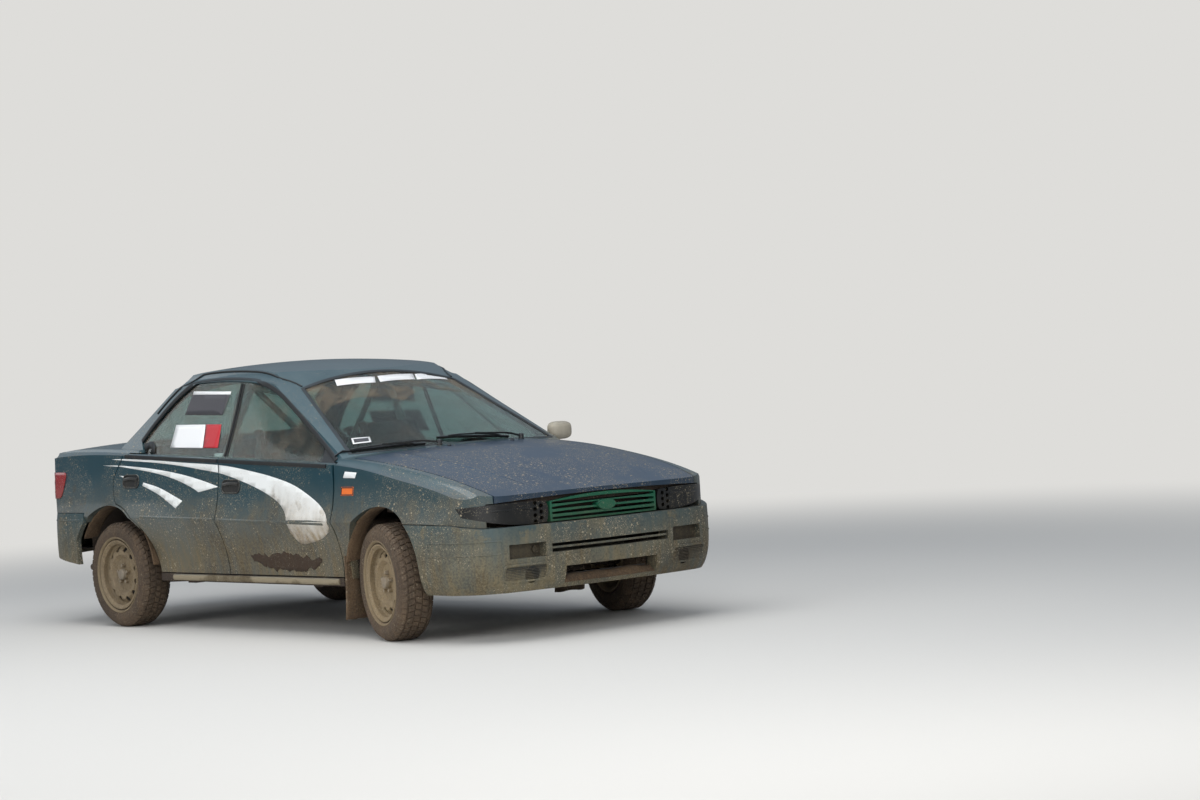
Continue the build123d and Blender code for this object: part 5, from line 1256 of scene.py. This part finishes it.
def plump(made, pressure, most, frames=16):
    """Fills a pad by cloth pressure; no point moves farther than most."""
    context = bpy.context
    context.view_layer.objects.active = made
    remesh = made.modifiers.new("Even", "REMESH")
    remesh.mode, remesh.voxel_size = "VOXEL", 0.007
    bpy.ops.object.select_all(action="DESELECT")
    made.select_set(True)
    bpy.ops.object.modifier_apply(modifier="Even")
    rest = [v.co.copy() for v in made.data.vertices]
    cloth = made.modifiers.new("Fill", "CLOTH")
    cloth.settings.use_pressure = True
    cloth.settings.uniform_pressure_force = pressure
    cloth.settings.effector_weights.gravity = 0.0
    cloth.settings.quality = 5
    cloth.collision_settings.use_self_collision = False
    scene = context.scene
    for frame in range(1, frames + 1):
        scene.frame_set(frame)
    shaped = made.evaluated_get(context.evaluated_depsgraph_get()).to_mesh()
    moved = [v.co.copy() for v in shaped.vertices]
    made.modifiers.remove(cloth)
    scene.frame_set(1)
    for vert, before, after in zip(made.data.vertices, rest, moved):
        step = after - before
        vert.co = before + (step if step.length < most else step.normalized() * most)


def seat_pad(name, y_middle, first, last, half, thick):
    """Crowned pad between two stations of the bucket."""
    bm, rows = bmesh.new(), []
    count = 12
    for k in range(count + 1):
        at = first + (last - first) * k / count
        index = min(int(at), len(SEAT_STATIONS) - 2)
        share = at - index
        one, n_one, _, _ = seat_section(SEAT_STATIONS[index])
        two, n_two, _, _ = seat_section(SEAT_STATIONS[index + 1])
        middle, normal = one.lerp(two, share), n_one.lerp(n_two, share).normalized()
        pinch = 1.0 - 0.10 * abs(2 * k / count - 1) ** 3
        crown = thick * (1.0 - 0.35 * abs(2 * k / count - 1) ** 4)
        ring = []
        for y, n in ((-1, 0.002), (-1, crown * 0.5), (-0.72, crown), (0, crown * 1.05), (0.72, crown),
                     (1, crown * 0.5), (1, 0.002), (0, 0.0)):
            ring.append(bm.verts.new(middle + Vector((0, y_middle + y * half * pinch, 0)) + normal * n))
        rows.append(ring)
    skin(bm, rows)
    cap(bm, rows)
    made = from_bmesh(name, bm, "seat_cloth", "body", 180.0)
    plump(made, PAD_PRESSURE, PAD_GROWTH)
    return made


def seat_mount(name, middle):
    """Side plates and rails under a bucket."""
    bm = bmesh.new()
    plate = four_sided(0.020, 0.004, -0.020, 0.004)
    section = four_sided(0.006, 0.018, -0.006, 0.018)
    for y in (-0.175, 0.175):
        for x in (0.02, 0.33):
            path = [Vector((x, middle + y, 0.304)), Vector((x, middle + y, 0.34)),
                    Vector((x + 0.01, middle + y * 0.97, 0.375))]
            sweep(bm, path, Vector((1, 0, 0)), plate)
        rail = [Vector((-0.02, middle + y, 0.310)), Vector((0.38, middle + y, 0.310))]
        sweep(bm, rail, Vector((0, 0, 1)), section)
    return from_bmesh(name, bm, "chassis_black", "body", 30.0)


def harness(name, middle):
    """Two shoulder straps, from the cushion over the seat's shoulders to the cage's bar."""
    bm = bmesh.new()
    for y in (-0.075, 0.075):
        front = [seat_section(SEAT_STATIONS[k], 0.040)[0] + Vector((0, middle + y * (0.6 + 0.05 * k), 0))
                 for k in (6, 7, 8, 9, 10)]
        over = [Vector((-0.175, middle + y, 0.945)), Vector((-0.290, middle + y, 0.935))]
        path = spline(front + [Vector((-0.150, middle + y, 0.930))] + over, 26)
        sweep(bm, path, [Vector((0.6, 0, 0.8))] * len(path), STRAP)
    return from_bmesh(name, bm, "webbing", "body", 40.0)


class RALLY_OT_seats(bpy.types.Operator):
    """Two padded competition buckets with shoulder straps"""
    bl_idname = "rally.seats"
    bl_label = "Seats"

    def execute(self, context):
        for side_name, side in SIDES:
            middle = side * SEAT_Y
            shell = seat_shell(f"seat_shell_{side_name}", middle)
            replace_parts(shell, "front_seats")
            for label, *sizes in SEAT_PADS:
                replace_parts(seat_pad(f"seat_{label}_pad_{side_name}", middle, *sizes), "front_seats")
            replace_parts(seat_mount(f"seat_mount_{side_name}", middle), "front_seats")
            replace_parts(harness(f"harness_{side_name}", middle), "front_seats")
        return {"FINISHED"}


# Wipers, mirror, lamps and small trim
def screen_point(tree, x, y, lift):
    """Point above the screen, lifted along its normal."""
    place, normal, _, _ = tree.ray_cast(Vector((x, y, 3)), Vector((0, 0, -1)))
    if place is None:
        raise RuntimeError(f"nothing under ({x}, {y})")
    return place + (normal if normal.z > 0 else -normal) * lift


SCREEN_BOW = 0.3          # how far the wipers' line falls back per metre squared from the middle
PIVOT_X, BLADE_X = 1.080, 1.022
# Wiper: label, pivot's y, blade's ends in y
WIPERS = (("passenger", -0.230, (-0.730, -0.290)), ("driver", 0.330, (-0.190, 0.260)))


class RALLY_OT_wipers(bpy.types.Operator):
    """Two wipers: spindle cap, tapered arm, bridge and rubber blade"""
    bl_idname = "rally.wipers"
    bl_label = "Wipers"

    def execute(self, context):
        tree = surface_of("windscreen", "cabin_frame", "hood")
        for label, pivot_y, blade in WIPERS:
            bm = bmesh.new()
            pivot_x = PIVOT_X - SCREEN_BOW * pivot_y ** 2
            start = screen_point(tree, pivot_x, pivot_y, 0.010)
            middle_y = sum(blade) / 2
            middle_x = BLADE_X - SCREEN_BOW * middle_y ** 2
            end = screen_point(tree, middle_x, middle_y, 0.026)
            knee = start.lerp(end, 0.30) + Vector((0, 0, 0.014))
            path = spline([start + Vector((0, 0, 0.004)), knee, start.lerp(end, 0.7) + Vector((0, 0, 0.006)),
                           end], 16)
            sweep(bm, path, Vector((0, 0, 1)), four_sided(0.005, 0.008, -0.004, 0.006))
            frame = Matrix.Translation(start) @ Matrix.Rotation(math.radians(90), 4, "X")
            lathe(bm, frame, [(-0.014, 0.014), (0.012, 0.014), (0.018, 0.010), (0.021, 0.004)], 20)
            line = []
            for k in range(15):
                y = blade[0] + (blade[1] - blade[0]) * k / 14
                line.append(screen_point(tree, BLADE_X - SCREEN_BOW * y ** 2 + (y - middle_y) * 0.10, y,
                                         0.010))
            sweep(bm, line, Vector((0.4, 0, 0.9)), four_sided(0.004, 0.004, -0.0095, 0.0012))
            bridge = [p + Vector((0.002, 0, 0.012 * math.sin(math.pi * i / 14))) for i, p in enumerate(line)]
            sweep(bm, bridge[2:-2], Vector((0.4, 0, 0.9)), four_sided(0.004, 0.003, -0.003, 0.004))
            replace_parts(from_bmesh(f"wiper_{label}", bm, "wiper_black", "body", 35.0), "wipers")
        return {"FINISHED"}


MIRROR_STEPS = 28
MIRROR_DEPTH = 0.064
MIRROR_RINGS = ((0.0, 0.96), (0.12, 1.0), (0.45, 0.985), (0.72, 0.90), (0.90, 0.70), (1.0, 0.40))


def mirror_outline(half, high):
    """Soft-cornered outline, as (y, z)."""
    points = []
    for k in range(MIRROR_STEPS):
        c, s = math.cos(2 * math.pi * k / MIRROR_STEPS), math.sin(2 * math.pi * k / MIRROR_STEPS)
        points.append((half * abs(c) ** 0.55 * (1 if c >= 0 else -1),
                       high * abs(s) ** 0.6 * (1 if s >= 0 else -1)))
    return points


class RALLY_OT_mirror(bpy.types.Operator):
    """The one door mirror that is left: domed housing, glass and foot"""
    bl_idname = "rally.mirror"
    bl_label = "Door Mirror"

    def execute(self, context):
        low, high = (Vector(corner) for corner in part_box("mirror_left"))
        middle = Vector((0, high.y - 0.075, 0.966))

        def ring(bm, x, points, size=1.0):
            return [bm.verts.new((x, middle.y + y * size, middle.z + z * size)) for y, z in points]

        bm, housing = bmesh.new(), mirror_outline(0.073, 0.050)
        rings = [ring(bm, low.x + 0.004 + MIRROR_DEPTH * t, housing, size) for t, size in MIRROR_RINGS]
        skin(bm, rings)
        cap(bm, rings)
        foot = [Vector((0.742, 0.700, 0.905)), Vector((0.750, 0.745, 0.916)), Vector((0.760, 0.800, 0.928))]
        sweep(bm, foot, Vector((0, 0, 1)), four_sided(0.014, 0.020, -0.012, 0.016))
        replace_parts(from_bmesh("mirror_housing", bm, "mirror_shell", "door_front_left", 40.0),
                    "mirror_left")
        bm, face = bmesh.new(), mirror_outline(0.064, 0.042)
        rings = [ring(bm, low.x + 0.0045, face), ring(bm, low.x + 0.0020, face)]
        skin(bm, rings)
        cap(bm, rings)
        from_bmesh("mirror_glass", bm, "mirror_face", "door_front_left", 30.0)
        return {"FINISHED"}


class RALLY_OT_body_trim(bpy.types.Operator):
    """Roof drip mouldings, window corner blocks, B dividers, side creases, sill bars and wet mud"""
    bl_idname = "rally.body_trim"
    bl_label = "Body Trim"

    def execute(self, context):
        shell, sill = surface_of("cabin_frame"), surface_of("floor_pan")
        for side_name, side in SIDES:
            sheet = side_sheet(side)
            drip = [p for p in grow_path(glass_outline(), -0.056) if -0.98 < p[0] < 0.66]
            strip_on(f"drip_moulding_{side_name}", shell, sheet, drip, round_profile(0.012, 0.006),
                     "seal_rubber", "body")
            block = [(-1.043, 1.022), (-0.990, 1.034), (-0.960, 1.035), (-0.915, 1.006), (-0.900, 0.972),
                     (-0.997, 0.967), (-1.034, 0.985)]
            lay_sheet(f"corner_block_{side_name}", block, sheet, surface_of(f"rear_door_glass_{side_name}"),
                      "seal_rubber", f"door_rear_{side_name}", 0.0010, 0.0045, 0.05)
            for end, x, points in (
                    ("rear", -0.1655, [(-0.900, 0.626), (-0.560, 0.620), (-0.170, 0.613)]),
                    ("front", -0.1425, [(-0.138, 0.612), (0.350, 0.601), (0.838, 0.590)])):
                body = f"door_{end}_{side_name}"
                line = [(x, 0.945 + 0.383 * k / 20) for k in range(21)]
                strip_on(f"divider_{end}_{side_name}", surface_of(f"{end}_door_glass_{side_name}"), sheet,
                         line, strip_profile(0.013, 0.0035), "seal_rubber", body)
                strip_on(f"side_crease_{end}_{side_name}", surface_of(f"{end}_door_{side_name}"), sheet,
                         line_of(points, 30), round_profile(0.016, 0.0035), "body_paint", body)
            line = [(-0.715 + 1.56 * k / 60, 0.287) for k in range(61)]
            strip_on(f"sill_bar_{side_name}", sill, sheet, line, round_profile(0.034, 0.011), "sill_mud",
                     "body")
            patch = line_of([(0.071, 0.418), (0.250, 0.424), (0.441, 0.430), (0.610, 0.414), (0.715, 0.398),
                             (0.690, 0.370), (0.600, 0.352), (0.497, 0.338), (0.300, 0.344), (0.180, 0.362),
                             (0.095, 0.392), (0.071, 0.418)], 150)[:-1]
            patch = [(x, z + 0.022 * noise.noise(Vector((x * 26, z * 6, 4.0)))
                      + 0.010 * noise.noise(Vector((x * 90, 0, 9)))) for x, z in patch]
            lay_sheet(f"wet_patch_{side_name}", patch, sheet, surface_of(f"front_door_{side_name}"),
                      "wet_mud", f"door_front_{side_name}", 0.0006, 0.0012, 0.03)
        return {"FINISHED"}


class RALLY_OT_handles(bpy.types.Operator):
    """Door handles: rounded bezel, dark cavity and pull"""
    bl_idname = "rally.handles"
    bl_label = "Door Handles"

    def execute(self, context):
        for side_name, side in SIDES:
            sheet = side_sheet(side)
            for end, x, z in (("front", -0.030, 0.786), ("rear", -1.035, 0.821)):
                body = f"door_{end}_{side_name}"
                tree = surface_of(f"{end}_door_{side_name}", f"{end}_door_trim_{side_name}")
                lay_sheet(f"handle_well_{end}_{side_name}", rounded_box(x, z, 0.080, 0.033, 0.028), sheet,
                          tree, "seal_rubber", body, 0.0006, 0.0015, 0.02)
                door = surface_of(f"{end}_door_{side_name}")
                rim = dense(rounded_box(x, z, 0.082, 0.035, 0.029), 0.006)
                places, normals = follow(door, sheet, rim)
                bm = bmesh.new()
                sweep(bm, places, normals, strip_profile(0.008, 0.006, 0.003), closed=True)
                pull = line_of([(x - 0.070, z + 0.010), (x, z + 0.014), (x + 0.070, z + 0.010)], 24)
                at, facing = follow(tree, sheet, pull)
                middle = sum(facing, Vector()).normalized()
                bar = [p + middle * (0.004 + 0.010 * math.sin(math.pi * i / 23)) for i, p in enumerate(at)]
                sweep(bm, bar, middle, [(0.004, 0.006), (0.006, 0.003), (0.006, -0.003), (0.004, -0.008),
                                        (-0.003, -0.008), (-0.003, 0.006)])
                from_bmesh(f"handle_{end}_{side_name}", bm, "handle_black", body, 35.0)
        return {"FINISHED"}


class RALLY_OT_hood_trim(bpy.types.Operator):
    """Creases and washer jets of the hood"""
    bl_idname = "rally.hood_trim"
    bl_label = "Hood Trim"

    def execute(self, context):
        down = top_sheet()
        tree = surface_of("hood")
        for side_name, side in SIDES:
            crease = line_of([(1.010, side * 0.520), (1.350, side * 0.500), (1.700, side * 0.455),
                              (1.960, side * 0.395)], 40)
            places, normals = follow(tree, down, crease)
            bm, rings = bmesh.new(), []
            for i, (place, normal) in enumerate(zip(places, normals)):
                fade = math.sin(math.pi * (i + 0.5) / len(places)) ** 0.5
                aside = Vector((0, side, 0))
                aside = (aside - normal * aside.dot(normal)).normalized()
                rings.append([bm.verts.new(place + aside * a + normal * (b * fade - 0.0005))
                              for a, b in ((-0.030, 0.0), (-0.012, 0.0022), (-0.002, 0.0042), (0.004, 0.0036),
                                           (0.008, 0.0010), (0.012, 0.0), (0.012, -0.002), (-0.030, -0.002))])
            skin(bm, rings)
            cap(bm, rings)
            from_bmesh(f"hood_crease_{side_name}", bm, "hood_paint", "hood_panel", 60.0)
            bm = bmesh.new()
            place, normal, _, _ = tree.ray_cast(Vector((1.120, side * 0.210, 3)), Vector((0, 0, -1)))
            frame = Matrix.Translation(place) @ normal.to_track_quat("Y", "Z").to_matrix().to_4x4()
            lathe(bm, frame, [(-0.003, 0.011), (0.003, 0.011), (0.007, 0.008), (0.009, 0.003)], 20)
            from_bmesh(f"washer_jet_{side_name}", bm, "wiper_black", "hood_panel", 35.0)
        return {"FINISHED"}


def rounded_box(u, v, half, high, corner):
    """Rounded rectangle round (u, v), anticlockwise."""
    points = []
    for cu, cv, start in ((half - corner, high - corner, 0), (corner - half, high - corner, 90),
                          (corner - half, corner - high, 180), (half - corner, corner - high, 270)):
        for k in range(7):
            a = math.radians(start + 15 * k)
            points.append((u + cu + corner * math.cos(a), v + cv + corner * math.sin(a)))
    return points


def dense(loop, step=0.012):
    """Closed line with its long spans divided."""
    points = []
    for (u0, v0), (u1, v1) in zip(loop, loop[1:] + loop[:1]):
        count = max(1, math.ceil(math.hypot(u1 - u0, v1 - v0) / step))
        points += [(u0 + (u1 - u0) * k / count, v0 + (v1 - v0) * k / count) for k in range(count)]
    return points


def bumper_front(tree, y, z):
    """Bumper's outer face at (y, z), carried across the holes from the bars above and below."""
    above = tree.ray_cast(Vector((3, y, 0.388)), Vector((-1, 0, 0)))[0]
    below = tree.ray_cast(Vector((3, y, 0.252)), Vector((-1, 0, 0)))[0]
    return below.lerp(above, (z - below.z) / (above.z - below.z))


def slot_bar(tree):
    """Bar across the upper slot."""
    bm = bmesh.new()
    places, normals = follow(tree, front_sheet(), [(-0.380 + 0.760 * k / 40, 0.470) for k in range(41)])
    path = [p + Vector((-0.016, 0, -0.029)) for p in places]
    sweep(bm, path, normals, four_sided(0.005, 0.005, -0.008, 0.005))
    from_bmesh("slot_bar", bm, "bumper_paint", "body", 35.0)


def fog_blank(tree, side_name, side):
    """Ribbed blank in the fog lamp's place and the rolled frame round it."""
    bm, rows = bmesh.new(), []
    for k in range(33):
        z = 0.302 + 0.062 * k / 32
        crest = Vector((0.0095 if k % 4 in (1, 2) else 0.0015, 0, 0))
        rows.append([bm.verts.new(bumper_front(tree, side * (0.424 + 0.222 * i / 16), z) + crest)
                     for i in range(17)])
    skin(bm, rows, around=False)
    thicken(from_bmesh(f"fog_blank_{side_name}", bm, "blank_ribs", "body", 30.0), 0.002, 0.0)
    frame = dense(rounded_box(side * 0.535, 0.333, 0.121, 0.040, 0.022))
    bm = bmesh.new()
    sweep(bm, [bumper_front(tree, y, z) for y, z in frame], Vector((1, 0, 0)),
          strip_profile(0.013, 0.012, 0.004), closed=True)
    from_bmesh(f"fog_frame_{side_name}", bm, "bumper_paint", "body", 35.0)


def box_back(tree, side_name, side):
    """Dark back of the upper box, with the one small lamp that is left on the right."""
    bm = bmesh.new()
    edge = tree.ray_cast(Vector((3, side * 0.520, 0.488)), Vector((-1, 0, 0)))[0]
    back = [Vector((edge.x - 0.045, side * 0.412, 0.439)), Vector((edge.x - 0.060, side * 0.634, 0.439))]
    sweep(bm, back, Vector((1, 0, 0)), four_sided(0.002, 0.040, -0.003, 0.040))
    if side < 0:
        turn = Matrix.Rotation(math.radians(-90), 4, "Z")
        lamp = Matrix.Translation((edge.x - 0.046, side * 0.447, 0.439)) @ turn
        lathe(bm, lamp, [(-0.002, 0.021), (0.010, 0.020), (0.012, 0.015), (0.006, 0.013), (0.005, 0.002)], 28)
    from_bmesh(f"box_back_{side_name}", bm, "seal_rubber", "body", 35.0)


# Section of the mud that lies in the intake: set back from the bumper's face, and height, in metres under
# 0.01 and otherwise as a share of the heap
MUD_SECTION = ((-0.004, -0.006), (-0.006, 0.004), (-0.016, 0.6), (-0.030, 1.0), (-0.052, 1.08), (-0.085, 0.9),
               (-0.085, -0.006))
INTAKE_FLOOR = 0.262


def intake_mud(tree):
    """Mud caked on the floor of the lower intake."""
    bm, rows = bmesh.new(), []
    for i in range(61):
        y = -0.298 + 0.596 * i / 60
        face = bumper_front(tree, max(-0.29, min(0.29, y)), INTAKE_FLOOR)
        heap = 0.020 + 0.026 * (0.5 + 0.5 * noise.noise(Vector((y * 9, 2.0, 0))))
        row = []
        for back, rise in MUD_SECTION:
            lump = 0.004 * noise.noise(Vector((y * 55, back * 70, 3.0)))
            height = rise if abs(rise) < 0.01 else rise * heap + lump
            row.append(bm.verts.new(Vector((face.x + back + lump, y, INTAKE_FLOOR + height))))
        rows.append(row)
    skin(bm, rows)
    cap(bm, rows)
    from_bmesh("intake_mud", bm, "caked_mud", "body", 50.0)


class RALLY_OT_bumper_trim(bpy.types.Operator):
    """Corner strips, slot bar, box backs, fog blanks, intake mud and the rear bumper's line"""
    bl_idname = "rally.bumper_trim"
    bl_label = "Bumper Trim"

    def execute(self, context):
        tree = surface_of("front_bumper")
        slot_bar(tree)
        for side_name, side in SIDES:
            outline = rounded_box(0.045, 0.466, 0.190, 0.032, 0.016)
            strip_on(f"corner_blank_{side_name}", tree, corner_sheet(side), outline,
                     strip_profile(0.007, 0.0028, 0.003), "bumper_paint", "body",
                     closed=True)
            fog_blank(tree, side_name, side)
            box_back(tree, side_name, side)
        intake_mud(tree)
        rear = surface_of("rear_bumper")
        for side_name, side in SIDES:
            line = [(-1.540 - 0.52 * k / 30, 0.606 - 0.006 * k / 30) for k in range(31)]
            strip_on(f"rear_bumper_line_{side_name}", rear, side_sheet(side), line,
                     round_profile(0.010, 0.003), "bumper_paint", "body")
        return {"FINISHED"}


class RALLY_OT_lamps(bpy.types.Operator):
    """Ribs and corner wraps of the tail lamps, beads under the lamp covers, bezels of the indicators"""
    bl_idname = "rally.lamps"
    bl_label = "Lamps"

    def execute(self, context):
        rear = rear_sheet()
        lens = surface_of("tail_lamps")
        nose = surface_of("headlamp_covers")
        flank = surface_of("side_indicators")
        for side_name, side in SIDES:
            for number, z in enumerate((0.775, 0.805, 0.835, 0.862), 1):
                line = [(side * (0.488 + 0.200 * k / 16), z) for k in range(17)]
                strip_on(f"tail_lamp_rib_{number}_{side_name}", lens, rear, line,
                         round_profile(0.006, 0.0025), "red_lens", "body")
            line = [(side * (0.455 + 0.22 * k / 20), 0.643 - 0.004 * k / 20) for k in range(21)]
            strip_on(f"lamp_cover_bead_{side_name}", nose, front_sheet(), line, round_profile(0.007, 0.003),
                     "blanking_plate", "body")
            lay_sheet(f"tail_lamp_wrap_{side_name}", rounded_box(-0.090, 0.803, 0.125, 0.075, 0.020),
                      rear_corner_sheet(side), surface_of("cabin_frame"), "red_lens", "body",
                      0.0008, 0.004, 0.02)
            low, high = (Vector(corner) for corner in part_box("side_indicators"))
            middle = ((low.x + high.x) / 2, (low.z + high.z) / 2)
            half, tall = (high.x - low.x) / 2 - 0.004, (high.z - low.z) / 2 - 0.004
            outline = rounded_box(*middle, half, tall, 0.006)
            strip_on(f"indicator_bezel_{side_name}", flank, side_sheet(side), outline,
                     strip_profile(0.005, 0.0022), "seal_rubber", "body", closed=True)
        return {"FINISHED"}


# Flap: end, x, y from and to, z of its lower and upper edge
FLAPS = (("front", 0.952, 0.590, 0.800, 0.100, 0.425), ("rear", -1.649, 0.530, 0.700, 0.172, 0.425))
# Arch: end, x and z of its middle, radius, first and last angle
ARCHES = (("front", 1.300, 0.345, 0.333, 12, 172), ("rear", -1.247, 0.300, 0.389, 8, 150))
# Section of the mud across an arch: y and share of its thickness
ARCH_SECTION = ((0.800, 0.0), (0.790, 0.55), (0.772, 1.0), (0.745, 0.9), (0.715, 0.6), (0.690, 0.0))


def flap(name, side, x, y0, y1, z0, z1):
    """Rubber sheet that bows and curls backwards at its worn lower edge."""
    bm, rows = bmesh.new(), []
    for j in range(19):
        down, row = j / 18, []
        for i in range(15):
            across = i / 14
            edge = z0 + 0.012 * noise.noise(Vector((across * 3, x, side)))
            bow = 0.0035 * math.sin(math.pi * across) * down
            row.append(bm.verts.new(Vector((x + 0.001 + bow - 0.018 * down ** 3,
                                            side * (y0 + (y1 - y0) * across), z1 + (edge - z1) * down))))
        rows.append(row)
    skin(bm, rows, around=False)
    made = from_bmesh(name, bm, "flap_rubber", "body", 60.0)
    thicken(made, 0.005, 0.0)
    return made


def arch_mud(name, side, x, z, radius, low, high):
    """Lumpy mud along the inside of a wheel arch."""
    bm, rings = bmesh.new(), []
    for k in range(91):
        a = math.radians(low + (high - low) * k / 90)
        fade = math.sin(math.pi * k / 90) ** 0.4
        ring = []
        for y, thick in ARCH_SECTION:
            lump = 0.5 + 0.5 * noise.noise(Vector((a * 8, y * 40, side * 3.0)))
            r = radius + 0.003 - thick * fade * (0.004 + 0.011 * lump)
            ring.append(bm.verts.new(Vector((x + r * math.cos(a), side * y, z + r * math.sin(a)))))
        rings.append(ring)
    skin(bm, rings, around=False)
    thicken(from_bmesh(name, bm, "caked_mud", "body", 60.0), 0.003, 0.0)


class RALLY_OT_mud_flaps(bpy.types.Operator):
    """Curled rubber flaps and the mud caked in the wheel arches"""
    bl_idname = "rally.mud_flaps"
    bl_label = "Flaps and Caked Mud"

    def execute(self, context):
        for side_name, side in SIDES:
            for end, *sizes in FLAPS:
                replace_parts(flap(f"flap_{end}_{side_name}", side, *sizes), "mud_flaps")
            for end, *sizes in ARCHES:
                arch_mud(f"arch_mud_{end}_{side_name}", side, *sizes)
        return {"FINISHED"}


OPERATORS = [RALLY_OT_stage, RALLY_OT_finishes, RALLY_OT_wheels, RALLY_OT_seals, RALLY_OT_screen_dirt,
             RALLY_OT_stripes, RALLY_OT_labels, RALLY_OT_seats, RALLY_OT_wipers, RALLY_OT_mirror,
             RALLY_OT_body_trim, RALLY_OT_handles, RALLY_OT_hood_trim, RALLY_OT_bumper_trim, RALLY_OT_lamps,
             RALLY_OT_mud_flaps]
SETTINGS = {"rally_grime": RallyGrime, "rally_paint": RallyPaint, "rally_tyres": RallyTyres,
            "rally_stage": RallyStage}


class RALLY_PT_panel(bpy.types.Panel):
    """Settings and steps of the rally saloon"""
    bl_idname = "RALLY_PT_panel"
    bl_label = "Rally Saloon"
    bl_space_type = "VIEW_3D"
    bl_region_type = "UI"
    bl_category = "Rally Saloon"

    def draw(self, context):
        for name, group in SETTINGS.items():
            box = self.layout.box()
            for label in group.__annotations__:
                box.prop(getattr(context.scene, name), label)
        for operator in OPERATORS:
            self.layout.operator(operator.bl_idname)


def register():
    for group in SETTINGS.values():
        bpy.utils.register_class(group)
    for name, group in SETTINGS.items():
        setattr(bpy.types.Scene, name, bpy.props.PointerProperty(type=group))
    for item in OPERATORS + [RALLY_PT_panel]:
        bpy.utils.register_class(item)


def unregister():
    for item in reversed(OPERATORS + [RALLY_PT_panel]):
        bpy.utils.unregister_class(item)
    for name, group in SETTINGS.items():
        delattr(bpy.types.Scene, name)
        bpy.utils.unregister_class(group)


def main():
    register()
    for operator in OPERATORS:
        call = operator.bl_idname.split(".")[1]
        getattr(bpy.ops.rally, call)()
    bpy.context.view_layer.update()


if __name__ == "__main__":
    main()
